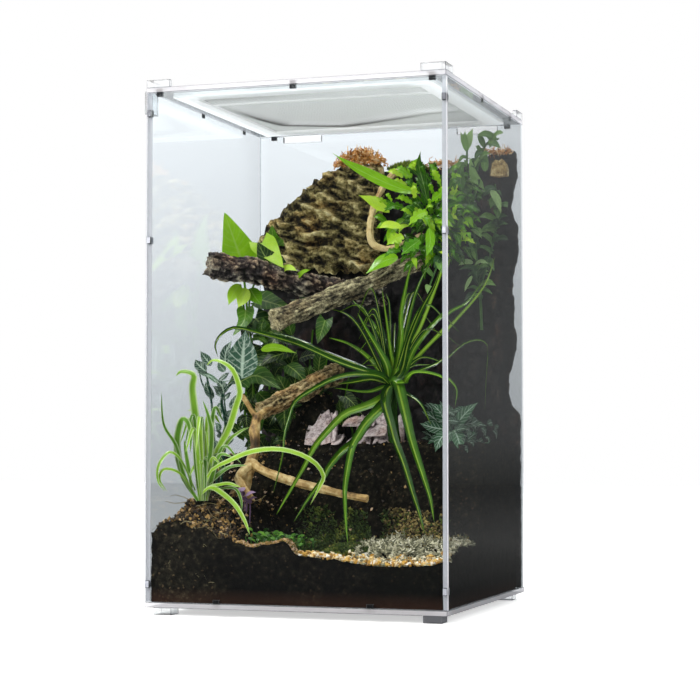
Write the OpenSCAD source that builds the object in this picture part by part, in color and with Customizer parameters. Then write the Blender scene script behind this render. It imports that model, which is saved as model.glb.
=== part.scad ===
// Planted reptile terrarium: a clear acrylic case with a lift-off vented lid and a pull-off
// front panel held by magnets. Origin at the bottom centre, +X right, +Y back, +Z up.

/* [Case] */
// Outside width of the case
case_w = 244; // [200:1:300]
// Outside depth of the case
case_d = 244; // [200:1:300]
// Height from the underside of the base to the top of the lid
case_h = 406; // [335:1:490]
// Thickness of the walls and the front panel
wall_t = 4; // [4:0.5:6]
// Thickness of the base plate
base_t = 4; // [4:0.5:6]
// Gap between the pull-off front panel and what it meets
panel_gap = 0.2; // [0.1:0.05:0.5]

/* [Lid] */
// Thickness of the lid plate
lid_t = 4; // [4:0.5:6]
// Width of the lid's border at the left and right of the mesh window
side_border = 30; // [26:1:40]
// Width of the lid's border at the front and back of the mesh window
end_border = 34; // [26:1:44]
// Width of the white frame round the window
frame_band = 15; // [12:0.5:15]
// Thickness of the white frame
frame_t = 2; // [1.5:0.1:3]
// Width of the frame's ledge that carries the mesh
mesh_ledge = 8; // [4:0.5:9]
// Thickness of the mesh
mesh_t = 0.8; // [0.6:0.1:1.2]
// Gaps in the mesh along each side
mesh_gaps = 17; // [8:1:17]
// Width of the solid strips between the gaps
mesh_bar = 2.2; // [1.5:0.1:3]
// Distance from the window's front edge back to the cross strip under the mesh
strip_setback = 34; // [10:1:60]
// Width of the cross strip
strip_w = 2.4; // [1.5:0.1:4]
// Thickness of the cross strip
strip_t = 1.2; // [1:0.1:2]

/* [Corners] */
// Length of each leg of the corner keepers
keeper_leg = 20; // [16:1:26]
// Thickness of the corner keepers
keeper_t = 4; // [3:0.5:5]
// Height of the corner keepers
keeper_h = 6; // [4:0.5:10]
// Side of the square feet
foot_w = 15; // [12:1:20]
// Height of the feet
foot_h = 6; // [4:0.5:10]
// Gap between a foot and the keeper below it when cases are stacked
stack_gap = 1.5; // [0.5:0.1:2]

/* [Pull tab] */
// Thickness of the pull tab beside the left wall
tab_t = 3; // [2:0.5:4]
// Length of the pull tab along the wall
tab_w = 15; // [12:1:20]
// Height of the pull tab
tab_h = 18; // [12:1:24]
// Distance of the tab's top below the top of the lid
tab_drop = 2; // [1:0.5:3]

/* [Magnets] */
// Length of a block magnet along its edge
magnet_l = 5; // [4:0.5:8]
// Width of a block magnet across its edge
magnet_w = 3; // [2:0.1:3.2]
// Depth of a block magnet into its edge
magnet_h = 3; // [2:0.1:3.2]
// Clearance round a magnet in its pocket
magnet_gap = 0.1; // [0.05:0.05:0.2]
// Distance of the outer front magnets from the sides of the case
front_magnet_inset = 11; // [10:1:60]
// Distance of the rear wall's magnets from the sides of the case
rear_magnet_inset = 16; // [12:1:20]
// Distance of the side walls' front magnets from the front of the case
side_magnet_front = 108; // [60:1:110]
// Distance of the side walls' rear magnets from the back of the case
side_magnet_rear = 44; // [20:1:60]
// Distance of the base magnets from the sides of the case
base_magnet_inset = 60; // [20:1:80]
// Height of the low edge magnets above the underside of the base
edge_magnet_low = 18; // [12:1:60]
// Height of the middle edge magnets above the underside of the base
edge_magnet_mid = 286; // [150:1:300]
// Distance of the high edge magnets below the top of the lid
edge_magnet_top = 20; // [14:1:40]

/* [Cable notches] */
// Width of each notch in the rear wall's top edge
notch_w = 36; // [16:1:40]
// Depth of each notch
notch_h = 6; // [4.5:0.5:12]
// Distance of each notch's middle from the side of the case
notch_inset = 43; // [43:1:70]

/* [Planting] */
// Gap between the planting and the case, and between planted pieces
plant_gap = 0.3; // [0.2:0.1:0.6]
// Depth of the low soil at the front right
low_soil_h = 34; // [24:1:40]
// Depth of the soil mound at the front left
mound_h = 76; // [60:1:84]
// Width of the soil mound behind its front slope
mound_w = 60; // [50:1:64]
// Depth of the raised soil bank at the back
bank_h = 124; // [100:1:130]
// Distance from the front panel to the foot of the bank
bank_setback = 84; // [70:1:88]
// Run of the bank's front slope
bank_run = 38; // [34:1:42]
// Width of the soil knoll that carries the leaning bark log
knoll_w = 38; // [28:1:40]
// Depth of the soil knoll
knoll_d = 34; // [20:1:36]
// Width of the gravel strip along the front panel
gravel_w = 17; // [10:1:20]
// Distance from the middle to the left edge of the ground cover
cover_left = 4; // [2:1:10]
// Width of the moss mat
moss_w = 58; // [40:1:62]
// Thickness of the bark sheet on the back wall
backing_t = 20; // [14:1:24]
// Thickness of the rugged cork slab in front of the sheet
slab_t = 20; // [14:1:24]
// Distance from the lid down to the top of the bark sheet
backing_drop = 36; // [30:1:60]
// Radius of the upper cork branch
upper_branch_r = 10.5; // [8:0.5:12]
// Radius of the lower cork branch
lower_branch_r = 8; // [6:0.5:9]
// Radius of the driftwood's stem
drift_r = 7.5; // [5:0.5:9]
// Radius of the bark log's upper end
log_r = 9; // [7:0.5:10]
// Thickness of a long grassy leaf
blade_t = 0.9; // [0.7:0.1:1.4]
// Thickness of a broad leaf
leaf_t = 1.2; // [0.9:0.1:1.8]

/* [Hidden] */
$fn = 48;

// Half sizes and heights that the pieces share
hw = case_w / 2;
hd = case_d / 2;
floor_z = foot_h + base_t;
top_z = foot_h + case_h;
wall_top = top_z - lid_t;
in_x = hw - wall_t;
in_y = hd - wall_t;
edge_x = hw - wall_t / 2;
edge_y = hd - wall_t / 2;
cut = 1;

// The mesh window, and the mouth in the lid plate that the mesh fills
window_w = case_w - 2 * side_border;
window_d = case_d - 2 * end_border;
mouth_w = window_w + 2 * mesh_ledge;
mouth_d = window_d + 2 * mesh_ledge;

// Magnet places along each edge
front_xs = [front_magnet_inset - hw, 0, hw - front_magnet_inset];
side_ys = [side_magnet_front - hd, hd - side_magnet_rear];
rear_xs = [rear_magnet_inset - hw, hw - rear_magnet_inset];
base_xs = [base_magnet_inset - hw, hw - base_magnet_inset];
edge_zs = [foot_h + edge_magnet_low, foot_h + edge_magnet_mid, top_z - edge_magnet_top];

// Planting limits: the inside of the case less the gap
px = in_x - plant_gap;
py = in_y - plant_gap;
pz = floor_z + plant_gap;
backing_y = py - backing_t;
backing_z = wall_top - backing_drop;
slab_y = backing_y - plant_gap - slab_t;
low_z = floor_z + low_soil_h;
mound_z = floor_z + mound_h;
bank_z = floor_z + bank_h;
bank_foot = bank_setback - in_y;
bank_brow = bank_foot + bank_run;
bank_left = mound_w - in_x;
cover_front = gravel_w + plant_gap - py;

function bezier(t, a, b, c) = (1 - t) * (1 - t) * a + 2 * t * (1 - t) * b + t * t * c;

// A block the size of a magnet, its length along X, standing up from its place or hanging from it
module magnet_block(gap, up) {
    size = [magnet_l + 2 * gap, magnet_w + 2 * gap, magnet_h + (gap > 0 ? cut + gap : 0)];
    shift = up ? size[2] / 2 - (gap > 0 ? cut : 0) : -size[2] / 2 + (gap > 0 ? cut : 0);
    translate([0, 0, shift]) cube(size, center = true);
}

// Magnets or their pockets along the top edges of the side walls, in the rows that the lid repeats
module side_row(gap, up) {
    for (x = [-edge_x, edge_x])
        for (y = side_ys)
            translate([x, y, wall_top]) rotate([0, 0, 90]) magnet_block(gap, up);
}

module rear_row(gap, up) {
    for (x = rear_xs) translate([x, edge_y, wall_top]) magnet_block(gap, up);
}

module front_row(gap, up) {
    for (x = front_xs) translate([x, -edge_y, wall_top]) magnet_block(gap, up);
}

// Magnets or their pockets where the front panel meets the side walls' front edges
module edge_row(gap, back) {
    for (x = [-edge_x, edge_x])
        for (z = edge_zs)
            translate([x, -in_y, z]) rotate([90, 90, 0]) magnet_block(gap, !back);
}

module base_row(gap, up) {
    for (x = base_xs) translate([x, -edge_y, floor_z]) magnet_block(gap, up);
}

module base_plate() {
    color([0.84, 0.9, 0.94])
        difference() {
            translate([-hw, -hd, foot_h]) cube([case_w, case_d, base_t]);
            base_row(magnet_gap, false);
        }
}

module rear_wall() {
    color([0.86, 0.92, 0.95])
        difference() {
            translate([-hw, in_y, floor_z]) cube([case_w, wall_t, wall_top - floor_z]);
            for (x = [notch_inset - hw, hw - notch_inset])
                translate([x - notch_w / 2, in_y - cut, wall_top - notch_h])
                    cube([notch_w, wall_t + 2 * cut, notch_h + cut]);
            rear_row(magnet_gap, false);
        }
}

module side_wall(side) {
    color([0.86, 0.92, 0.95])
        difference() {
            translate([side > 0 ? in_x : -hw, -in_y, floor_z])
                cube([wall_t, 2 * in_y, wall_top - floor_z]);
            side_row(magnet_gap, false);
            edge_row(magnet_gap, true);
        }
}

module foot(sx, sy) {
    inset = keeper_t + stack_gap + foot_w / 2;
    color([0.62, 0.66, 0.68])
        translate([sx * (hw - inset), sy * (hd - inset), foot_h / 2])
            cube([foot_w, foot_w, foot_h], center = true);
}

module wall_magnets() {
    color([0.12, 0.12, 0.13]) {
        side_row(0, false);
        rear_row(0, false);
    }
}

module edge_magnets() {
    color([0.12, 0.12, 0.13]) edge_row(0, true);
}

module base_magnets() {
    color([0.12, 0.12, 0.13]) base_row(0, false);
}

// The pull-off front panel and its magnets
module front_panel() {
    color([0.88, 0.94, 0.97])
        difference() {
            translate([-hw, -hd, floor_z + panel_gap])
                cube([case_w, wall_t - panel_gap, wall_top - floor_z - 2 * panel_gap]);
            translate([0, 0, -panel_gap]) front_row(magnet_gap, false);
            translate([0, -panel_gap, 0]) edge_row(magnet_gap, false);
            translate([0, 0, panel_gap]) base_row(magnet_gap, true);
        }
}

module panel_top_magnets() {
    color([0.12, 0.12, 0.13]) translate([0, 0, -panel_gap]) front_row(0, false);
}

module panel_side_magnets() {
    color([0.12, 0.12, 0.13]) translate([0, -panel_gap, 0]) edge_row(0, false);
}

module panel_base_magnets() {
    color([0.12, 0.12, 0.13]) translate([0, 0, panel_gap]) base_row(0, true);
}

// The lid: a clear plate with a window, the white frame under it, and the mesh on the frame's ledge
module lid_plate() {
    color([0.88, 0.94, 0.97])
        difference() {
            translate([-hw, -hd, wall_top]) cube([case_w, case_d, lid_t]);
            translate([-mouth_w / 2, -mouth_d / 2, wall_top - cut])
                cube([mouth_w, mouth_d, lid_t + 2 * cut]);
            side_row(magnet_gap, true);
            rear_row(magnet_gap, true);
            front_row(magnet_gap, true);
        }
}

module mesh_frame() {
    color([0.97, 0.97, 0.97])
        difference() {
            translate([-window_w / 2 - frame_band, -window_d / 2 - frame_band, wall_top - frame_t])
                cube([window_w + 2 * frame_band, window_d + 2 * frame_band, frame_t]);
            translate([-window_w / 2, -window_d / 2, wall_top - frame_t - cut])
                cube([window_w, window_d, frame_t + 2 * cut]);
        }
}

module vent_mesh() {
    net_w = mouth_w - 2 * plant_gap;
    net_d = mouth_d - 2 * plant_gap;
    gap_w = (net_w - (mesh_gaps + 1) * mesh_bar) / mesh_gaps;
    gap_d = (net_d - (mesh_gaps + 1) * mesh_bar) / mesh_gaps;
    color([0.72, 0.74, 0.76])
        translate([0, 0, wall_top])
            linear_extrude(mesh_t)
                difference() {
                    square([net_w, net_d], center = true);
                    for (i = [0:mesh_gaps - 1])
                        for (j = [0:mesh_gaps - 1])
                            translate([
                                -net_w / 2 + mesh_bar + i * (gap_w + mesh_bar),
                                -net_d / 2 + mesh_bar + j * (gap_d + mesh_bar)
                            ])
                                square([gap_w, gap_d]);
                }
}

module cross_strip() {
    color([0.96, 0.96, 0.96])
        translate([-window_w / 2, strip_setback - window_d / 2 - strip_w / 2, wall_top - strip_t])
            cube([window_w, strip_w, strip_t]);
}

module pull_tab() {
    color([0.84, 0.9, 0.94])
        translate([-hw - plant_gap - tab_t, -hd + wall_t, top_z - tab_drop - tab_h])
            cube([tab_t, tab_w, tab_h]);
}

module lid_magnets() {
    color([0.12, 0.12, 0.13]) {
        side_row(0, true);
        rear_row(0, true);
        front_row(0, true);
    }
}

// An L-shaped keeper that stands on a corner of the lid and locates a foot of the case above
module keeper(sx, sy) {
    color([0.84, 0.9, 0.94])
        translate([sx * hw, sy * hd, top_z])
            mirror([sx > 0 ? 1 : 0, 0, 0])
                mirror([0, sy > 0 ? 1 : 0, 0])
                    linear_extrude(keeper_h)
                        polygon([
                            [0, 0],
                            [keeper_leg, 0],
                            [keeper_leg, keeper_t],
                            [keeper_t, keeper_t],
                            [keeper_t, keeper_leg],
                            [0, keeper_leg]
                        ]);
}

// A planting point from percent: of the half width, of the half depth, and of the room between
// the ground that it grows from and the underside of the lid
function at(p, ground) = [
    p[0] * px / 100,
    p[1] * py / 100,
    ground + p[2] * (wall_top - ground) / 100
];

// A point whose piece of radius r just clears the bark sheet on the back wall
function on_backing(p, r) = [at(p, floor_z)[0], backing_y - plant_gap - r, at(p, floor_z)[2]];

// A point of a curve that passes through a, m and b
function arc_point(t, a, m, b) = bezier(t, a, 2 * m - (a + b) / 2, b);

// A round limb through a row of points, its radius running evenly from r1 to r2
module limb(points, r1, r2) {
    last = len(points) - 1;
    for (i = [0:last - 1])
        hull() {
            translate(points[i]) sphere(r1 + (r2 - r1) * i / last, $fn = 10);
            translate(points[i + 1]) sphere(r1 + (r2 - r1) * (i + 1) / last, $fn = 10);
        }
}

// The same through a smooth curve of three points
module curved_limb(a, m, b, r1, r2, steps) {
    limb([for (i = [0:steps]) arc_point(i / steps, a, m, b)], r1, r2);
}

// A long grassy leaf from a over m to b: a narrow foot, widest a third of the way along. Each
// length of it starts a little slimmer inside the end of the one before
module blade(a, m, b, width) {
    steps = 5;
    foot = 0.3;
    slim = 0.95;
    heading = atan2(b[1] - a[1], b[0] - a[0]);
    share = [for (k = [0:steps]) k == 0 ? foot : 1 - 0.85 * pow((k / steps - 0.3) / 0.7, 2)];
    for (i = [0:steps - 1])
        hull()
            for (k = [i, i + 1])
                translate(arc_point(k / steps, a, m, b))
                    rotate([0, 0, heading])
                        cube([blade_t, width * share[k], blade_t] * (k == i ? slim : 1), center = true);
}

// A broad leaf from its stalk end to its tip, its width turned from the X axis by an angle
module broad_leaf(base, tip, width, turn) {
    for (end = [base, tip])
        hull() {
            translate(end) cube(leaf_t, center = true);
            translate(base + (tip - base) * 0.4)
                rotate([0, 0, turn]) cube([width, leaf_t, leaf_t], center = true);
        }
}

// A grassy leaf that starts out of a crown of radius r, given as its middle, its end and its width
module grass_leaf(crown, leaf, ground, r) {
    end = at(leaf[1], ground);
    out = end - crown;
    blade(crown + out * r / 2 / norm(out), at(leaf[0], ground), end, leaf[2]);
}

// A tuft of grassy leaves on a crown
module grass(base, top, ground, leaves, r) {
    crown = at(top, ground);
    limb([at(base, ground) + [0, 0, r + plant_gap], crown], r, r * 0.8);
    for (leaf = leaves) grass_leaf(crown, leaf, ground, r);
}

// The bark log's lower end, middle and upper end, and the point where it lies on the knoll
log_ends = [at([-53, -21, 9.2], bank_z), at([-34, 7, 15], bank_z), at([-15, 34, 21], bank_z)];
log_seat = arc_point(0.8, log_ends[0], log_ends[1], log_ends[2]);
log_rise = log_ends[2] - log_ends[0];
log_slope = atan2(log_rise[2], norm([log_rise[0], log_rise[1]]));
knoll_z = log_seat[2] - log_r / cos(log_slope) - plant_gap;

module soil_bed() {
    toe = 14;
    front = [
        [-px, pz], [-px, mound_z - toe], [-0.88 * px, mound_z], [-0.475 * px, mound_z],
        [-0.356 * px, (mound_z + low_z) / 2 - 4], [-0.254 * px, low_z + toe / 2], [0, low_z],
        [px, low_z], [px, pz]
    ];
    bank = [
        [bank_foot, pz], [bank_foot, low_z], [bank_foot + 0.7 * bank_run, bank_z - toe / 2],
        [bank_brow, bank_z], [backing_y - plant_gap, bank_z], [backing_y - plant_gap, pz]
    ];
    color([0.13, 0.1, 0.08])
        union() {
            translate([0, bank_foot, 0])
                rotate([90, 0, 0]) linear_extrude(py + bank_foot) polygon(front);
            translate([-px, bank_foot, pz])
                cube([px + bank_left, backing_y - plant_gap - bank_foot, mound_z - pz]);
            translate([bank_left, 0, 0])
                rotate([90, 0, 90]) linear_extrude(px - bank_left) polygon(bank);
            translate([log_seat[0] - 0.6 * knoll_w, log_seat[1], bank_z - cut])
                cube([knoll_w, knoll_d, knoll_z - bank_z + cut]);
        }
}

// Low ground cover lying on the front soil, its outline rounded
module ground_cover(x1, x2, y1, y2, h, r) {
    translate([0, 0, low_z + plant_gap])
        linear_extrude(h)
            for (inset = [0, r])
                polygon([
                    [x1 + inset, y1 + r - inset], [x2 - inset, y1 + r - inset],
                    [x2 - inset, y2 - r + inset], [x1 + inset, y2 - r + inset]
                ]);
}

module moss_mat() {
    color([0.2, 0.27, 0.12])
        ground_cover(cover_left, cover_left + moss_w, cover_front, bank_foot - 6, 9, 8);
}

module lichen_patch() {
    color([0.72, 0.74, 0.62])
        ground_cover(cover_left + moss_w + 2, px, cover_front, bank_foot - 4, 12, 8);
}

module gravel_strip() {
    color([0.66, 0.52, 0.3]) ground_cover(cover_left, px, -py, gravel_w - py, 6, 3);
}

// Flat pale pieces of bark that stand on the bank, leaning back a little, each given as its place
// in percent of the half width, its distance behind the brow, its width, and its height in percent
// of the room between the bank and the lid
module bark_chips() {
    lean = 12;
    thick = 4;
    room = (wall_top - bank_z) / 100;
    color([0.76, 0.68, 0.67])
        for (chip = [[-26, 12, 22, 10.6], [10, 12, 15, 11], [58, 14, 14, 8.8], [31, 22, 16, 9.9]])
            translate([chip[0] * px / 100, bank_brow + chip[1], bank_z + plant_gap])
                difference() {
                    rotate([-lean, 0, 0])
                        translate([-chip[2] / 2, 0, -cut]) cube([chip[2], thick, chip[3] * room]);
                    translate([-chip[2], -chip[2], -2 * cut]) cube([2 * chip[2], 2 * chip[2], 2 * cut]);
                }
}

module backing_bark() {
    side_gap = 3;
    color([0.2, 0.16, 0.13])
        translate([0, py, 0])
            rotate([90, 0, 0])
                linear_extrude(backing_t)
                    polygon([
                        [side_gap - px, pz], [side_gap - px, backing_z - 68],
                        [-0.81 * px, backing_z - 50], [-0.6 * px, backing_z - 24],
                        [-0.34 * px, backing_z - 8], [0.05 * px, backing_z], [0.35 * px, backing_z],
                        [0.6 * px, backing_z + 3], [0.86 * px, backing_z + 14],
                        [px, backing_z + 12], [px, backing_z - 60], [px - 4, backing_z - 134],
                        [px, backing_z - 170], [px - 8, backing_z - 236], [px, backing_z - 300],
                        [px, pz]
                    ]);
}

module cork_slab() {
    z = function(p) at([0, 0, p], floor_z)[2];
    color([0.45, 0.38, 0.27])
        translate([0, slab_y + slab_t, 0])
            rotate([90, 0, 0])
                linear_extrude(slab_t)
                    polygon([
                        [-0.9 * px, z(66.5)], [-0.93 * px, z(71)], [-0.91 * px, z(77)],
                        [-0.77 * px, z(81.3)], [-0.66 * px, z(84.5)], [-0.54 * px, z(87.7)],
                        [-0.42 * px, z(90.3)], [-0.3 * px, z(92)], [0.06 * px, z(92)],
                        [0.07 * px, z(84)], [0.02 * px, z(74)], [0, z(67.5)], [-0.5 * px, z(69)]
                    ]);
}

module branch_upper() {
    r = upper_branch_r;
    ends = [at([-88, -21, 68], floor_z), at([-52, 18, 65], floor_z), at([-14, 54, 63.5], floor_z)];
    color([0.24, 0.19, 0.15])
        union() {
            curved_limb(ends[0], ends[1], ends[2], r, r * 0.9, 7);
            limb([ends[2], on_backing([4, 0, 63], r * 0.85)], r * 0.9, r * 0.85);
        }
}

module branch_lower() {
    r = lower_branch_r;
    ends = [at([-37, -34, 56], floor_z), at([-3, 10, 62], floor_z), at([28, 58, 69], floor_z)];
    color([0.36, 0.3, 0.24])
        union() {
            curved_limb(ends[0], ends[1], ends[2], r, r * 0.9, 7);
            limb([ends[2], on_backing([38, 0, 70.5], r * 0.85)], r * 0.9, r * 0.85);
        }
}

module driftwood() {
    r = drift_r;
    g = mound_z;
    foot = at([-57, -53, 0], g) + [0, 0, r * 0.7 + plant_gap];
    knee = at([-49, -49, 8], g);
    fork = at([-50, -34, 22], g);
    color([0.72, 0.58, 0.4])
        union() {
            limb([foot, knee], r * 0.7, r);
            curved_limb(knee, at([-51, -42, 15], g), fork, r, r * 0.85, 3);
            limb([fork, at([-57, -37, 26], g), at([-63, -38, 29], g)], r * 0.5, r * 0.25);
            curved_limb(knee, at([-2, -53, 4], g), at([36, -54, 1.5], g), r * 0.75, r * 0.55, 5);
        }
}

module bark_log() {
    color([0.4, 0.33, 0.25])
        curved_limb(log_ends[0], log_ends[1], log_ends[2], log_r - 1.5, log_r, 8);
}

module root_loop() {
    g = floor_z;
    color([0.76, 0.64, 0.46])
        limb([
            on_backing([20, 0, 90], 4.2), at([12, 56, 86], g), at([8, 46, 81], g),
            at([6, 42, 76], g), at([9, 42, 73], g), at([17, 46, 72], g), at([26, 50, 73], g),
            at([32, 64, 75], g), on_backing([34, 0, 76], 3.6)
        ], 4.2, 3.6);
}

module sphagnum_tuft() {
    top = at([0, 0, 92], floor_z)[2];
    color([0.79, 0.58, 0.36])
        translate([0, slab_y + slab_t, top + plant_gap])
            rotate([90, 0, 0])
                linear_extrude(slab_t - 2 * cut)
                    polygon([[-38, 0], [-36, 8], [-26, 13], [-10, 14], [2, 11], [6, 0]]);
}

module moss_cushion() {
    color([0.42, 0.48, 0.18])
        translate([0, py - cut, backing_z + plant_gap])
            rotate([90, 0, 0])
                linear_extrude(backing_t - 4)
                    translate([26, 0]) polygon([[-18, 0], [-14, 7], [-4, 9], [12, 8], [14, 0]]);
}

module grass_plant_left() {
    color([0.46, 0.62, 0.2])
        grass([-77, -72, 0], [-76, -72, 5], mound_z, [
            [[-87, -84, 15], [-93, -93, 27], 4], [[-91, -68, 11], [-93, -64, 20], 5],
            [[-77, -72, 15], [-85, -68, 31], 7], [[-56, -59, 23], [-77, -51, 35], 5],
            [[-70, -64, 18], [-89, -78, 32], 5], [[-27, -82, 13], [15, -87, 6], 6],
            [[-52, -72, 7], [-40, -60, 9], 5], [[-52, -85, 2.5], [-36, -94, -4], 6],
            [[-91, -84, 12], [-94, -94, 6], 4], [[-76, -66, 12], [-77, -63, 25], 6],
            [[-70, -51, 13], [-62, -40, 19], 4]
        ], 5);
}

// The low leaves hang over the bank that the plant grows on, and the high ones stand among the
// branches, whose heights count from the floor
module grass_plant_centre() {
    crown = [39, -7, 18];
    r = 5.5;
    high = [
        [[-24, -21, 49.7], [-75, -38, 52.5], 6], [[68, -21, 44.9], [91, -38, 38.7], 6],
        [[25, -4, 51.8], [7, -2, 59.4], 7], [[34, 3, 53.9], [26, 8, 64.9], 5],
        [[43, 0, 55.9], [47, 7, 69.7], 6], [[57, -8, 58], [79, -17, 71.8], 6],
        [[73, -4, 54.6], [92, 25, 67.6], 5], [[80, 2, 50.4], [91, 27, 41.5], 5]
    ];
    color([0.24, 0.42, 0.12])
        union() {
            grass([37, 10, 0], crown, bank_z, [
                [[-14, -49, 14], [-26, -71, -14], 5], [[1, -47, 2], [-20, -76, -18], 8],
                [[10, -53, -7], [-9, -82, -21], 8], [[30, -49, 1], [30, -80, -23], 7],
                [[54, -38, 1], [78, -74, -20], 8], [[62, -30, 4], [84, -64, -18], 8]
            ], r);
            for (leaf = high) grass_leaf(at(crown, bank_z), leaf, floor_z, r);
        }
}

module arrowhead_vine() {
    g = floor_z;
    top = at([-72, 22, 65.2], g);
    color([0.5, 0.72, 0.14])
        union() {
            curved_limb(at([-78, 28, 0], mound_z) + [0, 0, 2], at([-74, 26, 43.4], g), top, 1.8, 1.3, 6);
            for (stalk = [[-76, 15, 69.3], [-55, 25, 69.3], [-80, -2, 63.6]])
                limb([top, at(stalk, g)], 1.2, 1);
            broad_leaf(at([-76, 15, 68.4], g), at([-90, 6, 80.6], g), 34, 20);
            broad_leaf(at([-55, 25, 68.4], g), at([-66, 21, 77.3], g), 26, 0);
            broad_leaf(at([-80, -1, 64.4], g), at([-82, -7, 56.3], g), 14, 30);
            broad_leaf(at([-74, 26, 51.5], g), at([-50, 22, 54.7], g), 16, 90);
            broad_leaf(at([-74, 26, 45], g), at([-47, 18, 41.7], g), 18, 90);
        }
}

module silver_plant() {
    g = mound_z;
    fork = at([-81, -22, 24], g);
    color([0.36, 0.48, 0.38])
        union() {
            curved_limb(at([-80, -20, 0], g) + [0, 0, 2], at([-79, -21, 13], g), fork, 1.6, 1.2, 5);
            for (stalk = [[-70, -17, 31], [-85, -27, 31]]) limb([fork, at(stalk, g)], 1.2, 1);
            broad_leaf(at([-70, -17, 31], g), at([-69, -17, 43], g), 26, 0);
            broad_leaf(at([-85, -27, 31], g), at([-94, -31, 38], g), 14, 20);
            broad_leaf(fork, at([-59, -15, 26], g), 18, 90);
        }
}

module leafy_fern() {
    g = bank_z;
    crown = at([51, 30, 68], g);
    tips = [
        [7, 17, 73], [17, 16, 66], [15, 14, 60], [28, 16, 54], [42, 14, 60], [62, 10, 82],
        [66, 12, 78], [66, 15, 57], [74, 24, 71], [52, 8, 70], [36, 20, 84], [60, 40, 58]
    ];
    color([0.3, 0.6, 0.1])
        union() {
            limb([on_backing([52, 0, 75], 2.5), at([52, 60, 62], g), crown], 2.5, 2.5);
            for (tip = tips) broad_leaf(crown, at(tip, g), 12, 0);
            blade(crown, at([18, 16, 82], g), at([-9, 0, 87], g), 14);
        }
}

module climber() {
    g = floor_z;
    knots = [
        on_backing([84, 0, 60], 1.8), at([84, 66, 66], g), at([82, 52, 74], g),
        at([78, 50, 86], g), at([75, 50, 97.5], g)
    ];
    color([0.26, 0.5, 0.18])
        union() {
            limb(knots, 1.8, 1.2);
            for (k = [1:4])
                for (side = [-1, 1])
                    broad_leaf(knots[k], knots[k] + [14 * side, 4 * side, 5 - k * 2.2], 9, 80);
        }
}

module veined_plant() {
    g = bank_z;
    crown = at([75, 13, 4], g);
    color([0.16, 0.36, 0.17])
        union() {
            limb([at([75, 13, 0], g) + [0, 0, 3.4], crown], 3, 2.5);
            for (tip = [[61, 13, 12], [74, 15, 14], [88, 13, 10], [88, 2, 6], [70, -1, 7], [80, 24, 9]])
                broad_leaf(crown, at(tip, g), 12, tip[1] > 10 ? 0 : 30);
        }
}

base_plate();
rear_wall();
side_wall(-1);  // left_wall
side_wall(1);  // right_wall
foot(-1, -1);  // foot_front_left
foot(1, -1);  // foot_front_right
foot(-1, 1);  // foot_rear_left
foot(1, 1);  // foot_rear_right
wall_magnets();
edge_magnets();
base_magnets();
soil_bed();
moss_mat();
lichen_patch();
gravel_strip();
bark_chips();
backing_bark();
cork_slab();
branch_upper();
branch_lower();
driftwood();
bark_log();
root_loop();
sphagnum_tuft();
moss_cushion();
grass_plant_left();
grass_plant_centre();
arrowhead_vine();
silver_plant();
leafy_fern();
climber();
veined_plant();
front_panel();
panel_top_magnets();
panel_side_magnets();
panel_base_magnets();
lid_plate();
mesh_frame();
vent_mesh();
cross_strip();
pull_tab();
lid_magnets();
keeper(-1, -1);  // keeper_front_left
keeper(1, -1);  // keeper_front_right
keeper(-1, 1);  // keeper_rear_left
keeper(1, 1);  // keeper_rear_right
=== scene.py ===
import bpy
import math
import random
from mathutils import Matrix, Vector, noise


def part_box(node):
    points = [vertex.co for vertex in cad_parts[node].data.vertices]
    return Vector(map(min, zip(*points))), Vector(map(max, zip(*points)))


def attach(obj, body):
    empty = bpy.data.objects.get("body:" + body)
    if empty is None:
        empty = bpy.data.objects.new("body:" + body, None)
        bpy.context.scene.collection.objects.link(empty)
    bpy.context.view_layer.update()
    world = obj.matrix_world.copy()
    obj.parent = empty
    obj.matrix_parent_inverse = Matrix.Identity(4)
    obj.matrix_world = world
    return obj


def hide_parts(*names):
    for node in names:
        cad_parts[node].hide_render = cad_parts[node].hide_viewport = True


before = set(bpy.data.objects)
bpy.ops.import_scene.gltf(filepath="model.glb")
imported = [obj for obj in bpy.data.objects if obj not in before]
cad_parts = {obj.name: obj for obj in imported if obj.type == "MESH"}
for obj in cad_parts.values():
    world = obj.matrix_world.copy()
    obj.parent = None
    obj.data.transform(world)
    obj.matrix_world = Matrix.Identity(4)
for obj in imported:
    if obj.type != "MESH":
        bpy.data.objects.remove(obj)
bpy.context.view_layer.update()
scene = bpy.context.scene
scene.view_settings.view_transform = "Standard"
MM = 0.001


def alone(obj=None):
    """Deselects everything, and then selects the one object that is worked on."""
    bpy.ops.object.select_all(action="DESELECT")
    if obj is not None:
        obj.select_set(True)
        bpy.context.view_layer.objects.active = obj


# ---------------------------------------------------------------- camera
# A small studio: the camera stands low in front and to the right of the case, with a long lens,
# so that the case's upright edges stay upright.
bpy.ops.object.camera_add(location=(0.50645, -1.49085, 0.13660),
                          rotation=(math.radians(92.652), 0, math.radians(18.571)))
camera = bpy.context.object
camera.data.sensor_width = 36
camera.data.lens = 98.80
camera.data.clip_start = 0.05
scene.camera = camera


# ---------------------------------------------------------------- studio
# A seamless white sweep, lit softly from above and both sides. The background is white where the
# camera sees it, also through the acrylic, and the floor keeps the case's soft shadow.
def linear(code):
    """An sRGB hex colour as linear RGBA."""
    parts = [int(code[i:i + 2], 16) / 255 for i in (1, 3, 5)]
    return [c / 12.92 if c <= 0.04045 else ((c + 0.055) / 1.055) ** 2.4 for c in parts] + [1]


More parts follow.
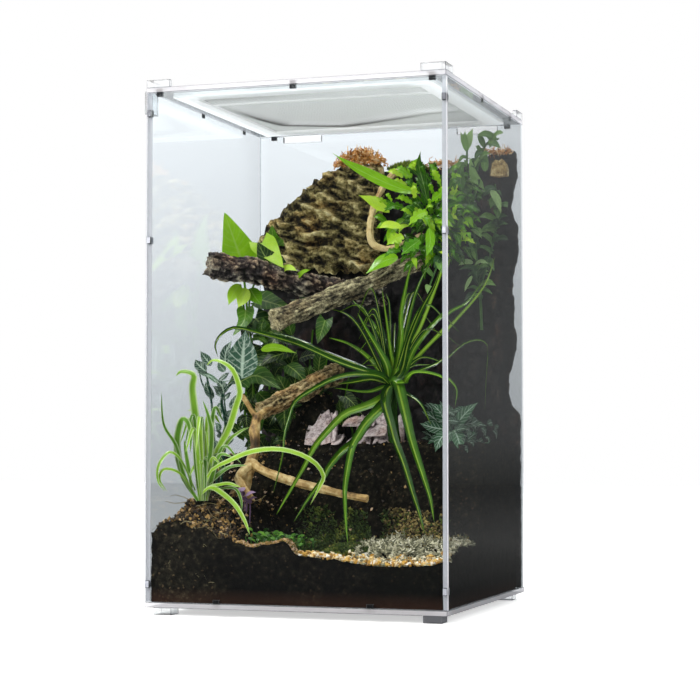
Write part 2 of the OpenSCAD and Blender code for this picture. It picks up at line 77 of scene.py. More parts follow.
def add(tree, kind, inputs=None, links=None, stops=(), **settings):
    """Adds a node with its settings, its values, the sockets that feed it and, for a colour ramp, its
    stops as (place, colour) pairs from low to high."""
    node = tree.nodes.new("ShaderNode" + kind)
    if stops:
        elements = node.color_ramp.elements
        for element, (spot, code) in zip(elements, (stops[0], stops[-1])):
            element.position, element.color = spot, linear(code)
        for spot, code in stops[1:-1]:
            elements.new(spot).color = linear(code)
    for key, value in settings.items():
        setattr(node, key, value)
    for key, value in (inputs or {}).items():
        node.inputs[key].default_value = value
    for key, socket in (links or {}).items():
        tree.links.new(socket, node.inputs[key])
    return node


def new_material(name):
    """An empty node material with its output."""
    material = bpy.data.materials.new(name)
    material.use_nodes = True
    material.node_tree.nodes.clear()
    tree = material.node_tree
    return material, tree, add(tree, "OutputMaterial")


world = bpy.data.worlds.new("white_sweep")
scene.world = world
world.use_nodes = True
tree = world.node_tree
tree.nodes.clear()


def direct_view(tree, steps):
    """What a ray has met: its light path, then 1 if it comes from the camera and has only passed through
    clear pieces, else 0, and how far its panes dim the paper. One pane, two surfaces, leaves it nearly
    white, and two panes dim it fully. The sky is counted as one step more than a surface."""
    ray = add(tree, "LightPath")
    other = add(tree, "Math", {}, {0: ray.outputs["Ray Depth"], 1: ray.outputs["Transmission Depth"]},
                operation="SUBTRACT")
    direct = add(tree, "Math", {0: 1.0 + steps}, {1: other.outputs[0]}, operation="SUBTRACT", use_clamp=True)
    panes = add(tree, "MapRange", {"From Min": 1.2, "From Max": 4.0},
                {"Value": ray.outputs["Transmission Depth"]})
    return ray, direct.outputs[0], panes.outputs[0]


ray, direct, panes = direct_view(tree, 1)
way = add(tree, "SeparateXYZ", {}, {0: add(tree, "TexCoord").outputs["Generated"]})
height = way.outputs["Z"]
# the light of the room on matt things, its dark mirror image, and the paper seen through the case
shades = []
for low_z, low_colour, high_z, high_colour in ((0.0, linear("#a9adb2"), 0.35, linear("#f6f8fa")),
                                               (0.1, linear("#333433"), 0.6, linear("#e9eaec")),
                                               (-0.02, (0.62, 0.62, 0.63, 1), 0.17, (1.28, 1.27, 1.28, 1))):
    shade = add(tree, "MapRange", {"From Min": low_z, "From Max": high_z}, {"Value": height})
    mix = add(tree, "Mix", {6: low_colour, 7: high_colour}, {0: shade.outputs[0]}, data_type="RGBA")
    shades.append(mix.outputs[2])
behind = add(tree, "MapRange", {"From Min": 0.3, "From Max": 0.9, "To Max": 0.14},
             {"Value": way.outputs["Y"]})
near_floor = add(tree, "MapRange", {"From Min": -0.025, "From Max": 0.003, "To Min": 0.3}, {"Value": height})
behind = add(tree, "Math", {}, {0: behind.outputs[0], 1: near_floor.outputs[0]}, operation="MULTIPLY")
room = add(tree, "VectorMath", {}, {0: shades[1], 1: behind.outputs[0]}, operation="ADD")
mirrored = shades[0]
for kind in ("Is Glossy Ray", "Is Transmission Ray"):
    mirrored = add(tree, "Mix", {}, {0: ray.outputs[kind], 6: mirrored, 7: room.outputs[0]},
                   data_type="RGBA").outputs[2]
left_light = add(tree, "MapRange", {"From Min": -0.355, "From Max": -0.368, "To Min": 1.0, "To Max": 1.2},
                 {"Value": way.outputs["X"]})
lit = add(tree, "VectorMath", {}, {0: shades[2], "Scale": left_light.outputs[0]}, operation="SCALE")
bright = add(tree, "VectorMath", {0: (1, 1, 1)}, {1: lit.outputs[0]}, operation="MAXIMUM")
dimmed = add(tree, "Mix", {}, {0: panes, 6: bright.outputs[0], 7: lit.outputs[0]}, data_type="RGBA")
paper_seen = add(tree, "Mix", {7: (1, 1, 1, 1)}, {0: ray.outputs["Is Camera Ray"], 6: dimmed.outputs[2]},
                 data_type="RGBA")
soft = add(tree, "Background", {"Strength": 0.6}, {"Color": mirrored})
white = add(tree, "Background", {"Strength": 1.0}, {"Color": paper_seen.outputs[2]})
pick = add(tree, "MixShader", {}, {0: direct, 1: soft.outputs[0], 2: white.outputs[0]})
add(tree, "OutputWorld", {}, {0: pick.outputs[0]})

alone()
bpy.ops.mesh.primitive_plane_add(size=8, location=(0, 0, 0))
floor = bpy.context.object
floor.name = "floor"
paper, tree, out = new_material("white_paper_floor")
ray, direct, panes = direct_view(tree, 0)
unseen = add(tree, "Math", {}, {0: ray.outputs["Is Glossy Ray"], 1: ray.outputs["Is Transmission Ray"]},
             operation="MAXIMUM")
unseen = add(tree, "Math", {}, {0: unseen.outputs[0], 1: direct}, operation="SUBTRACT", use_clamp=True)
through_case = add(tree, "Math", {}, {0: direct, 1: ray.outputs["Is Camera Ray"]}, operation="SUBTRACT",
                   use_clamp=True)
through_case = add(tree, "Math", {}, {0: through_case.outputs[0], 1: panes}, operation="MULTIPLY")
lift = add(tree, "MapRange", {"To Min": 0.55, "To Max": 0.62}, {"Value": through_case.outputs[0]})
lift = add(tree, "Math", {}, {0: lift.outputs[0], 1: direct}, operation="MULTIPLY")
shade = add(tree, "Mix", {6: linear("#ededed"), 7: linear("#000000")}, {0: through_case.outputs[0]},
            data_type="RGBA")
far = add(tree, "MapRange", {"From Min": 0.2, "From Max": 1.0},
          {"Value": add(tree, "SeparateXYZ", {}, {0: add(tree, "TexCoord").outputs["Object"]}).outputs["Y"]})
dim = add(tree, "Mix", {6: linear("#2b2b2b"), 7: linear("#4b4b4b")}, {0: far.outputs[0]}, data_type="RGBA")
shade = add(tree, "Mix", {}, {0: unseen.outputs[0], 6: shade.outputs[2], 7: dim.outputs[2]}, data_type="RGBA")
matt = add(tree, "BsdfDiffuse", {}, {"Color": shade.outputs[2]})
glow = add(tree, "Emission", {"Color": (1, 1, 1, 1)}, {"Strength": lift.outputs[0]})
both = add(tree, "AddShader", {}, {0: matt.outputs[0], 1: glow.outputs[0]})
tree.links.new(both.outputs[0], out.inputs[0])
floor.data.materials.append(paper)

# each lamp: place, the point that it faces, its size and its power
for name, place, aim, size, power in [("key_softbox", (-0.7, -1.5, 1.2), (0, 0, 0.2), 0.7, 36),
                                      ("fill_softbox", (1.5, -0.9, 0.9), (0, 0, 0.2), 1.2, 6),
                                      ("top_softbox", (-0.1, 0.0, 1.7), (0, 0, 0.2), 0.9, 17),
                                      ("rear_softbox", (-0.5, 1.5, 1.55), (0, 0, 0.2), 1.0, 14)]:
    light = bpy.data.lights.new(name, "AREA")
    light.shape = "SQUARE"
    light.size = size
    light.energy = power
    light.color = (1.0, 0.97, 0.91)
    lamp = bpy.data.objects.new(name, light)
    lamp.location = place
    lamp.rotation_euler = (Vector(aim) - Vector(place)).to_track_quat("-Z", "Y").to_euler()
    lamp.visible_camera = False
    scene.collection.objects.link(lamp)


# ---------------------------------------------------------------- clear case
# The case's plates, the pull-off front, the lid plate and the corner pieces are laser-cut clear
# acrylic, glued at the edges. The cut edges are polished and have a small break at each corner.
def clear_acrylic(name):
    """Cast acrylic: glass-clear faces with a faint cool tint in the edges. Light passes straight
    through it to what stands inside."""
    material, tree, out = new_material(name)
    pane = add(tree, "BsdfGlass", {"Color": linear("#f9fbfc"), "Roughness": 0.0, "IOR": 1.49})
    clear = add(tree, "BsdfTransparent", {"Color": linear("#f4f6f7")})
    ray = add(tree, "LightPath")
    soft_ray = add(tree, "Math", {}, {0: ray.outputs["Is Shadow Ray"], 1: ray.outputs["Is Diffuse Ray"]},
                   operation="MAXIMUM")
    mix = add(tree, "MixShader", {}, {0: soft_ray.outputs[0], 1: pane.outputs[0], 2: clear.outputs[0]})
    tree.links.new(mix.outputs[0], out.inputs[0])
    return material


def cut_edge(name, code, see_through):
    """A laser-cut acrylic edge: it gathers light and shows as a soft lilac-white band."""
    material, tree, out = new_material(name)
    skin = add(tree, "BsdfPrincipled", {"Base Color": linear(code), "Roughness": 0.3})
    glow = add(tree, "BsdfTranslucent", {"Color": linear(code)})
    frost = add(tree, "MixShader", {0: 0.5}, {1: skin.outputs[0], 2: glow.outputs[0]})
    clear = add(tree, "BsdfTransparent", {"Color": linear("#f4f6f7")})
    mix = add(tree, "MixShader", {0: see_through}, {1: frost.outputs[0], 2: clear.outputs[0]})
    tree.links.new(mix.outputs[0], out.inputs[0])
    return material


def polish(node, material, shrink, edge, rim=None, line=None):
    """A kept CAD piece gets its material, a hair of room at its glued faces, and broken edges. A
    plate's narrow edge faces, but not its small pockets, get the material of a cut edge, and their
    corners that of a line."""
    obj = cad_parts[node]
    obj.data.materials.clear()
    obj.data.materials.append(material)
    if rim:
        obj.data.materials.append(rim)
        obj.data.materials.append(line)
        low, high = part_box(node)
        thin = min(range(3), key=lambda k: (high - low)[k])
        for face in obj.data.polygons:
            pocket = face.area < 12 * MM * MM
            face.material_index = 0 if abs(face.normal[thin]) > 0.7 or pocket else 1
    weld = obj.modifiers.new("weld", "WELD")
    weld.merge_threshold = 1e-6
    if shrink:
        room = obj.modifiers.new("room", "DISPLACE")
        room.strength = -shrink * MM
        room.mid_level = 0
    bevel = obj.modifiers.new("edges", "BEVEL")
    bevel.width = edge * MM
    bevel.segments = 2
    bevel.limit_method = "ANGLE"
    bevel.angle_limit = math.radians(40)
    if rim:
        bevel.material = 2
    return obj


# cut edges show frosted and lilac-white where light leaves them, and clearer where they are glued,
# small or in shade
acrylic = clear_acrylic("cast_clear_acrylic")
edge_acrylic = cut_edge("laser_cut_acrylic_edge", "#eae8ee", 0.4)
small_edge = cut_edge("polished_acrylic_edge", "#eeeef0", 0.7)
# a painted dark line on the bevelled corners, standing for the shade that a clear polished edge shows
corner_line = cut_edge("acrylic_corner_line", "#77797f", 0.35)
glued_edge = cut_edge("glued_acrylic_edge", "#e4e5ea", 0.85)
for node in ("base_plate", "front_panel", "lid_plate"):
    polish(node, acrylic, shrink=0.04, edge=0.5, rim=edge_acrylic, line=corner_line)
front_edge = cut_edge("unglued_acrylic_edge", "#dcdbe2", 0.2)
for node in ("rear_wall", "left_wall", "right_wall"):
    wall = polish(node, acrylic, shrink=0.04, edge=0.4, rim=glued_edge, line=glued_edge)
    wall.data.materials.append(front_edge)
    for face in wall.data.polygons:
        facing = face.normal.y < -0.7 and node != "rear_wall" or face.normal.z > 0.7
        if facing and face.material_index == 1:
            face.material_index = 3
for node in ("foot_front_left", "foot_rear_left", "foot_rear_right",
             "keeper_front_left", "keeper_front_right", "keeper_rear_left", "keeper_rear_right",
             "pull_tab"):
    polish(node, acrylic, shrink=0.04, edge=0.5, rim=small_edge, line=corner_line)
shaded_edge = cut_edge("shaded_acrylic_edge", "#74747a", 0.3)
polish("foot_front_right", acrylic, shrink=0.04, edge=0.5, rim=shaded_edge, line=corner_line)


# ---------------------------------------------------------------- magnets
# Small block magnets pressed into pockets in the plates' edges: black-plated along the lid and the
# base, and bright nickel at the sides, where they nearly vanish in the edges.
# black nickel plating: dark, metallic and a little scuffed
magnet, tree, out = new_material("black_nickel_magnet")
place = add(tree, "TexCoord")
scuff = add(tree, "TexNoise", {"Scale": 900.0, "Detail": 3.0}, {"Vector": place.outputs["Object"]})
worn = add(tree, "MapRange", {"To Min": 0.28, "To Max": 0.5}, {"Value": scuff.outputs["Fac"]})
skin = add(tree, "BsdfPrincipled", {"Base Color": linear("#1b1c1e"), "Metallic": 0.85},
           {"Roughness": worn.outputs[0]})
tree.links.new(skin.outputs[0], out.inputs[0])
# bright nickel seen through an edge: pale grey, darker near the lid
bright_magnet, tree, out = new_material("bright_nickel_magnet")
level = add(tree, "SeparateXYZ", {}, {0: add(tree, "TexCoord").outputs["Object"]}).outputs["Z"]
upper = add(tree, "MapRange", {"From Min": 0.34, "From Max": 0.36}, {"Value": level})
tint = add(tree, "Mix", {6: linear("#c2c0ca"), 7: linear("#6c6b72")}, {0: upper.outputs[0]}, data_type="RGBA")
skin = add(tree, "BsdfPrincipled", {"Metallic": 0.3, "Roughness": 0.5}, {"Base Color": tint.outputs[2]})
tree.links.new(skin.outputs[0], out.inputs[0])
for node in ("wall_magnets", "panel_top_magnets", "lid_magnets", "base_magnets", "panel_base_magnets"):
    polish(node, magnet, shrink=0.0, edge=0.2)
for node in ("edge_magnets", "panel_side_magnets"):
    polish(node, bright_magnet, shrink=0.0, edge=0.2)


# ---------------------------------------------------------------- lid frame and cross strip
# A white injection-moulded frame is taped under the lid plate and carries the mesh on its ledge.
# A thin white strip crosses the window below the mesh.
# injection-moulded ABS: satin white, and thin enough to glow where the light is behind it
white_plastic, tree, out = new_material("white_abs_plastic")
place = add(tree, "TexCoord")
fine = add(tree, "TexNoise", {"Scale": 1500.0, "Detail": 2.0}, {"Vector": place.outputs["Object"]})
bump = add(tree, "Bump", {"Strength": 0.15, "Distance": 0.05 * MM}, {"Height": fine.outputs["Fac"]})
skin = add(tree, "BsdfPrincipled", {"Base Color": linear("#f4f5f6"), "Roughness": 0.42},
           {"Normal": bump.outputs[0]})
thin = add(tree, "BsdfTranslucent", {"Color": linear("#f8f9fa")})
across = add(tree, "Math", {}, {0: add(tree, "SeparateXYZ", {}, {0: place.outputs["Object"]}).outputs["X"]},
             operation="ABSOLUTE")
thinner = add(tree, "MapRange", {"From Min": 0.084, "From Max": 0.094, "To Min": 0.5, "To Max": 0.78},
              {"Value": across.outputs[0]})
milky = add(tree, "MixShader", {}, {0: thinner.outputs[0], 1: skin.outputs[0], 2: thin.outputs[0]})
tree.links.new(milky.outputs[0], out.inputs[0])
for node in ("mesh_frame", "cross_strip"):
    polish(node, white_plastic, shrink=0.03, edge=0.3)


# ---------------------------------------------------------------- ventilation mesh
# A fine woven stainless net lies on the frame's ledge in the window. It is cut by hand and
# isn't flat: it sags a little along one long wave.
# stainless wire: a pale grey haze from afar, with painted shade along the trough of its sag and a painted
# shadow of the frame at its front left
steel, tree, out = new_material("woven_stainless_steel")
painted_wire_shade = add(tree, "Attribute", attribute_name="fold")
tint = add(tree, "Mix", {6: linear("#c0c3c4"), 7: linear("#2c2b27")}, {0: painted_wire_shade.outputs["Fac"]},
           data_type="RGBA")
skin = add(tree, "BsdfPrincipled", {"Metallic": 0.25, "Roughness": 0.45}, {"Base Color": tint.outputs[2]})
tree.links.new(skin.outputs[0], out.inputs[0])
low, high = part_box("vent_mesh")
net_wires = 96           # wires each way
wire = 0.42 * MM         # thickness of a wire
sag_line = [(-0.097, -0.046), (-0.070, 0.053), (-0.023, 0.074), (0.025, 0.051), (0.062, 0.032),
            (0.085, 0.030)]


def sag(x, y):
    """How far the net hangs below its plane: a soft trough along the wave, none at its rim. Also how much
    painted shade its wires get: along the trough, and a painted shadow of the frame at the front left."""
    best = 1.0
    for (ax, ay), (bx, by) in zip(sag_line, sag_line[1:]):
        t = max(0, min(1, ((x - ax) * (bx - ax) + (y - ay) * (by - ay)) / ((bx - ax) ** 2 + (by - ay) ** 2)))
        best = min(best, math.hypot(x - ax - t * (bx - ax), y - ay - t * (by - ay)))
    rim = max(0, min(1, (0.092 - abs(x)) / 0.012)) * max(0, min(1, (0.088 - abs(y)) / 0.012))
    trough = math.exp(-(best / 0.009) ** 2) * rim
    # the painted shade fades towards the right
    fade = max(0.25, min(1.0, (0.075 - x) / 0.08))
    # painted shadow of the frame's front arm over the front left of the net
    front = 0.5 * max(0, min(1, (-0.058 - y) / 0.02)) * max(0, min(1, (0.02 - x) / 0.08))
    return -1.8 * MM * trough, min(1, 0.9 * trough * fade + front)


for way, name in ((0, "mesh_wires_across"), (1, "mesh_wires_along")):
    verts, faces, painted_wire_shades = [], [], []
    mid = (low[2] + high[2]) / 2
    for i in range(net_wires):
        lane = (i + 0.5) / net_wires
        for j in range(net_wires + 1):
            run = j / net_wires
            u, v = (run, lane) if way == 0 else (lane, run)
            x = low[0] + u * (high[0] - low[0])
            y = low[1] + v * (high[1] - low[1])
            over = 0.1 * MM * (1 if (i + j + way) % 2 else -1)
            # fold is the painted shade of the wires here
            hang, fold = sag(x, y)
            z = mid + over + hang
            painted_wire_shades += [fold] * 4
            r = wire / 2
            ring = [(0, -r, 0), (0, 0, r), (0, r, 0), (0, 0, -r)] if way == 0 else \
                   [(r, 0, 0), (0, 0, r), (-r, 0, 0), (0, 0, -r)]
            verts += [(x + dx, y + dy, z + dz) for dx, dy, dz in ring]
            k = (i * (net_wires + 1) + j) * 4
            if j:
                for s in range(4):
                    faces.append((k - 4 + s, k + s, k + (s + 1) % 4, k - 4 + (s + 1) % 4))
            if j == 0:
                faces.append((k, k + 1, k + 2, k + 3))
            if j == net_wires:
                faces.append((k + 3, k + 2, k + 1, k))
    mesh = bpy.data.meshes.new(name)
    mesh.from_pydata(verts, [], faces)
    # the attribute fold holds the wires' painted shade
    mesh.attributes.new("fold", "FLOAT", "POINT").data.foreach_set("value", painted_wire_shades)
    net = bpy.data.objects.new(name, mesh)
    scene.collection.objects.link(net)
    net.data.materials.append(steel)
    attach(net, "lid")
    if way == 0:
        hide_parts("vent_mesh")


# ---------------------------------------------------------------- soil bed
# Moist coir and peat soil, nearly black, piled by hand: a mound at the front left, low ground at the
# front right and a steep bank behind. It presses flat against the clear walls.
def new_part(*marks):
    """Empty lists for a piece's points, its faces and the marks of its points."""
    return {key: [] for key in ("verts", "faces") + marks}


def piece(name, part, material, slot, stands_for=None, smooth=40):
    """Makes a planted piece from a part in millimetres, with its points' marks for the material."""
    mesh = bpy.data.meshes.new(name)
    mesh.from_pydata([(x * MM, y * MM, z * MM) for x, y, z in part["verts"]], [], part["faces"])
    if "uvs" in part:
        layer = mesh.uv_layers.new(name="along_across")
        corner = [0] * len(mesh.loops)
        mesh.loops.foreach_get("vertex_index", corner)
        layer.data.foreach_set("uv", [c for i in corner for c in part["uvs"][i]])
    for mark in ("tone", "relief"):
        if mark in part:
            mesh.attributes.new(mark, "FLOAT", "POINT").data.foreach_set("value", part[mark])
    mesh.validate()
    obj = bpy.data.objects.new(name, mesh)
    scene.collection.objects.link(obj)
    mesh.materials.append(material)
    if smooth:
        alone(obj)
        bpy.ops.object.shade_smooth_by_angle(angle=math.radians(smooth))
    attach(obj, "enclosure")
    if stands_for:
        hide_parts(stands_for)
    return obj


def ease(t):
    t = max(0.0, min(1.0, t))
    return t * t * (3 - 2 * t)


noise.seed_set(7)  # unset, noise vectors start from the clock and the bark differs from run to run


def rough(x, y, z, size, octaves=3):
    """Fractal noise from about -1 to 1, its largest lumps as big as size in millimetres."""
    return noise.fractal(Vector((x, y, z)) / size, 1.0, 2.0, octaves)


def along(table, x):
    """A value read from a table of (x, value) pairs, eased between them."""
    for (x0, v0), (x1, v1) in zip(table, table[1:]):
        if x <= x1:
            return v0 + (v1 - v0) * ease((x - x0) / (x1 - x0))
    return table[-1][1]


inner = 117.6            # half of the room between the walls
soil_foot = 10.35        # where the soil lies on the base plate
soil_back = 97.2         # where the soil meets the bark sheet
grid = 1.7               # spacing of the soil's points
knoll_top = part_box("soil_bed")[1].z / MM
mound_top, bank_top = 86, 133
front_line = [(-118, 64), (-108, 69), (-96, 72), (-88, 72), (-75, 67), (-56, 60), (-45, 56), (-37, 54),
              (-22, 55),
              (-8, 57), (3, 48), (30, 46), (62, 40), (90, 40), (118, 45)]


def ground(x, y):
    """Height of the soil at a place, in millimetres."""
    front = along(front_line, x)
    back_in = ease((y + 117) / 40)
    top = mound_top - 18 * ease((-98 - x) / 20) * ease((-20 - y) / 40)
    mound = front + (top - front) * back_in * ease((-38 - x) / 22) - 4 * back_in * ease((x + 30) / 20)
    bank = 42 + 90 * ease((y + 37) / 44) * ease((x + 98) / 38) + 11 * back_in * ease((x + 5) / 30)
    rear = (mound_top * ease((y + 66) / 26) + 37 * ease((y + 32) / 46)) * ease((-46 - x) / 18)
    h = max(mound, min(bank, bank_top), rear)
    if y > 4 and -62 < x < -8:
        near = ease(1.4 - math.hypot((x + 35) / 22, (y - 32) / 22))
        h += (knoll_top - 1.2 - h) * near
    rugged = 1 + 1.0 * ease((-45 - x) / 20) * ease((-20 - y) / 30)
    return h + 2.2 * rugged * rough(x, y, 0, 15) + 0.9 * rugged * rough(x, y, 7, 5)


nx, ny = round(2 * inner / grid), round((inner + soil_back) / grid)
xs = [-inner + 2 * inner * i / nx for i in range(nx + 1)]
ys = [-inner + (inner + soil_back) * j / ny for j in range(ny + 1)]
verts = [(x, y, min(knoll_top, ground(x, y))) for y in ys for x in xs]
faces = [(j * (nx + 1) + i, j * (nx + 1) + i + 1, (j + 1) * (nx + 1) + i + 1, (j + 1) * (nx + 1) + i)
         for j in range(ny) for i in range(nx)]
rim = [i for i in range(nx + 1)] + [j * (nx + 1) + nx for j in range(1, ny + 1)] + \
      [ny * (nx + 1) + i for i in range(nx - 1, -1, -1)] + [j * (nx + 1) for j in range(ny - 1, 0, -1)]
rows = 40                # rings down the sides
last = rim
for k in range(1, rows + 1):
    ring = []
    for i in rim:
        x, y, z = verts[i]
        low = soil_foot + (z - soil_foot) * (1 - k / rows)
        dent = 0.7 * max(0, rough(x, y, low, 5)) + 0.8 * max(0, rough(x, y, low, 17) - 0.1)
        scale = 1 - (dent if k < rows else 0.5) / inner
        ring.append(len(verts))
        verts.append((x * scale, y * scale, low))
    for a in range(len(rim)):
        b = (a + 1) % len(rim)
        faces.append((last[b], last[a], ring[a], ring[b]))
    last = ring
faces.append(tuple(reversed(last)))

def even(codes):
    """Ramp stops at even steps from 0 to 1."""
    return [(k / (len(codes) - 1), code) for k, code in enumerate(codes)]


# moist coir and peat: matt and nearly black, with 4 mm clumps and 1.5 mm pale flecks, and painted shade that
# darkens it towards the bottom and to the right in uneven patches
soil, tree, out = new_material("coir_and_peat_soil")
place = add(tree, "TexCoord").outputs["Object"]
clumps = add(tree, "TexNoise", {"Scale": 240.0, "Detail": 6.0, "Roughness": 0.7}, {"Vector": place})
earth = add(tree, "ValToRGB", {}, {0: clumps.outputs["Fac"]},
            stops=[(0.3, "#090908"), (0.45, "#13120f"), (0.58, "#26231b"), (0.75, "#544a38")])
bits = add(tree, "TexVoronoi", {"Scale": 700.0, "Randomness": 1.0}, {"Vector": place})
few = add(tree, "MapRange", {"From Min": 0.84, "From Max": 1.0}, {"Value": bits.outputs["Color"]})
flecked = add(tree, "Mix", {7: linear("#64513a")}, {0: few.outputs[0], 6: earth.outputs[0]}, data_type="RGBA")
level = add(tree, "SeparateXYZ", {}, {0: place}).outputs["Z"]
patch = add(tree, "TexNoise", {"Scale": 32.0, "Detail": 3.0}, {"Vector": place})
# painted shade: the lower the soil lies, the darker it is made
painted_soil_shade = add(tree, "MapRange", {"From Min": 8 * MM, "From Max": 85 * MM, "To Min": 1.05, "To Max": 0.35},
          {"Value": level})
dark = add(tree, "MapRange", {"From Min": 0.62, "From Max": 0.36}, {"Value": patch.outputs["Fac"]})
# painted shade that deepens to the right, where the inside of the case lies in shade
painted_shade_right = add(tree, "MapRange", {"From Min": -70 * MM, "From Max": -20 * MM, "To Max": 0.8},
                {"Value": add(tree, "SeparateXYZ", {}, {0: place}).outputs["X"]})
dark = add(tree, "Math", {}, {0: dark.outputs[0], 1: painted_shade_right.outputs[0]}, operation="ADD", use_clamp=True)
painted_soil_shade = add(tree, "Math", {}, {0: painted_soil_shade.outputs[0], 1: dark.outputs[0]}, operation="MULTIPLY", use_clamp=True)
soil_with_painted_shade = add(tree, "Mix", {7: linear("#080909")}, {0: painted_soil_shade.outputs[0], 6: flecked.outputs[2]}, data_type="RGBA")
# adds brown towards the bottom
rusty = add(tree, "MapRange", {"From Min": 22 * MM, "From Max": 10 * MM, "To Max": 0.6}, {"Value": level})
soil_with_painted_shade = add(tree, "Mix", {7: linear("#3a241a")}, {0: rusty.outputs[0], 6: soil_with_painted_shade.outputs[2]}, data_type="RGBA",
           blend_type="ADD")
grain = add(tree, "TexNoise", {"Scale": 700.0, "Detail": 4.0}, {"Vector": place})
bump = add(tree, "Bump", {"Strength": 0.6, "Distance": 0.5 * MM}, {"Height": grain.outputs["Fac"]})
skin = add(tree, "BsdfPrincipled", {"Roughness": 0.95, "Specular IOR Level": 0.03},
           {"Base Color": soil_with_painted_shade.outputs[2], "Normal": bump.outputs[0]})
tree.links.new(skin.outputs[0], out.inputs[0])
piece("soil_bed_earth", {"verts": verts, "faces": faces}, soil, "soil", "soil_bed", smooth=60)


# ---------------------------------------------------------------- soil crumbs
# Loose crumbs of coir, bits of bark and a few pale roots lie on the soil and along its front edge.
chance = random.Random(11)
round_way = 6.28         # a whole turn in radians
CHUNK = [(-1, 0, 0), (1, 0, 0), (0, -1, 0), (0, 1, 0), (0, 0, -1), (0, 0, 1)]
CHUNK_FACES = [(0, 2, 5), (2, 1, 5), (1, 3, 5), (3, 0, 5), (2, 0, 4), (1, 2, 4), (3, 1, 4), (0, 3, 4)]


def chunk(part, spot, size, tone):
    """A small uneven lump with eight faces."""
    first = len(part["verts"])
    angle = chance.uniform(0, round_way)
    turn = Matrix.Rotation(angle, 3, Vector([chance.gauss(0, 1) for _ in range(3)]).normalized())
    for corner in CHUNK:
        p = Vector([c * s * chance.uniform(0.7, 1.2) / 2 for c, s in zip(corner, size)])
        part["verts"].append(tuple(turn @ p + Vector(spot)))
        part["tone"].append(tone)
    part["faces"] += [tuple(first + i for i in f) for f in CHUNK_FACES]


def inside(p, margin=1.0):
    """Keeps a point within the walls."""
    r = inner - margin
    return (max(-r, min(r, p[0])), max(-r, min(r, p[1])), p[2])


def tinted(name, codes, roughness=0.8, through=0.0):
    """A matt natural material whose colour follows the tone of each crumb, leaf or strand."""
    material, tree, out = new_material(name)
    mark = add(tree, "Attribute", attribute_name="tone")
    tint = add(tree, "ValToRGB", {}, {0: mark.outputs["Fac"]}, stops=even(codes)).outputs[0]
    skin = add(tree, "BsdfPrincipled", {"Roughness": roughness}, {"Base Color": tint})
    last = skin
    if through:
        glow = add(tree, "BsdfTranslucent", {}, {"Color": tint})
        last = add(tree, "MixShader", {0: through}, {1: skin.outputs[0], 2: glow.outputs[0]})
    tree.links.new(last.outputs[0], out.inputs[0])
    return material


crumbs = new_part("tone")
loose, mound_edge, strip_edge = 2400, 900, 800      # crumbs all over, on the mound and along the front
for _ in range(loose):
    x, y = chance.uniform(-114, 114), chance.uniform(-114, 94)
    x = min(x, chance.uniform(-114, 114))
    s = chance.choice((1.2, 1.6, 2.2, 3.2))
    # crumbs right of the mound are given darker tones: painted shade
    tone = chance.random() ** (4 if x > -50 else 2)
    chunk(crumbs, (x, y, ground(x, y) + 0.2 * s), (s, s * 1.5, s * 0.8), tone)
for _ in range(mound_edge):
    x, y = chance.uniform(-115, -48), -115 + abs(chance.gauss(0, 16))
    s = chance.choice((1.4, 2.0, 2.8, 3.8))
    tone = 0.85 * chance.random() ** 2
    chunk(crumbs, inside((x, y, ground(x, y) + 0.4 * s), 3), (s, s * 1.4, s * 0.7), tone)
for _ in range(strip_edge):
    x = chance.uniform(-48, 14)
    s = chance.choice((1.1, 1.5, 2.2))
    chunk(crumbs, inside((x, chance.uniform(-115.5, -105), ground(x, -114) + chance.uniform(0, 1.5)), 2.5),
          (s, s * 2.0, s * 0.7), chance.uniform(0.5, 1.0))
# dry coir and bark crumbs: matt, from dark brown to straw by each crumb's tone
coir = tinted("coir_crumbs", ["#15110c", "#3d2c1b", "#7d5f31", "#b79255", "#dabda6"], 0.9)
piece("soil_crumbs", crumbs, coir, "soil", smooth=0)


# ---------------------------------------------------------------- gravel
# A strip of fine quartz and limestone gravel lies along the front panel, tan, honey and white.
chance = random.Random(12)
pebbles = new_part("tone")
for _ in range(900):
    x = chance.uniform(2, 116)
    y = -116.5 + abs(chance.gauss(0, 6.5))
    s = chance.choice((1.5, 2.1, 2.8, 3.6))
    lift = chance.uniform(0, 2.6)
    chunk(pebbles, inside((x, y, ground(x, y) + s * 0.3 + lift), 1.9), (s * 1.6, s, s * 0.8), chance.random())
# washed quartz: honey, tan and white by each pebble's tone, with a faint sheen
gravel = tinted("quartz_gravel", ["#7c5a2a", "#c39236", "#dcb25a", "#efdcb4", "#f6f1ea"], 0.55)
piece("gravel_pebbles", pebbles, gravel, "gravel", "gravel_strip", smooth=0)


# ---------------------------------------------------------------- moss and lichen on the ground
# Sheet moss grows over the low soil, with curly pale lichen laid at the right behind the gravel.
def strand(part, spot, heading, length, thick, curl, rise, tone, links=5):
    """A curly three-sided strand that starts at a spot and bends as it goes."""
    first = len(part["verts"])
    p = Vector(spot)
    yaw, pitch = heading, rise
    for k in range(links + 1):
        ahead = Vector((math.cos(yaw) * math.cos(pitch), math.sin(yaw) * math.cos(pitch), math.sin(pitch)))
        side = ahead.cross(Vector((0, 0, 1)))
        side = side.normalized() if side.length > 0.01 else Vector((1, 0, 0))
        over = side.cross(ahead)
        r = thick / 2 * (1 - 0.6 * k / links)
        for a in (0, 2.1, 4.2):
            part["verts"].append(inside(p + side * math.cos(a) * r + over * math.sin(a) * r, 0.3))
            part["tone"].append(tone)
        p = p + ahead * length / links
        yaw += curl * chance.uniform(0.6, 1.4)
        pitch += chance.uniform(-0.5, 0.4)
    for k in range(links):
        for a in range(3):
            b = (a + 1) % 3
            part["faces"].append((first + 3 * k + b, first + 3 * k + a, first + 3 * k + 3 + a,
                                  first + 3 * k + 3 + b))
    part["faces"].append((first, first + 1, first + 2))
    end = first + 3 * links
    part["faces"].append((end + 2, end + 1, end))


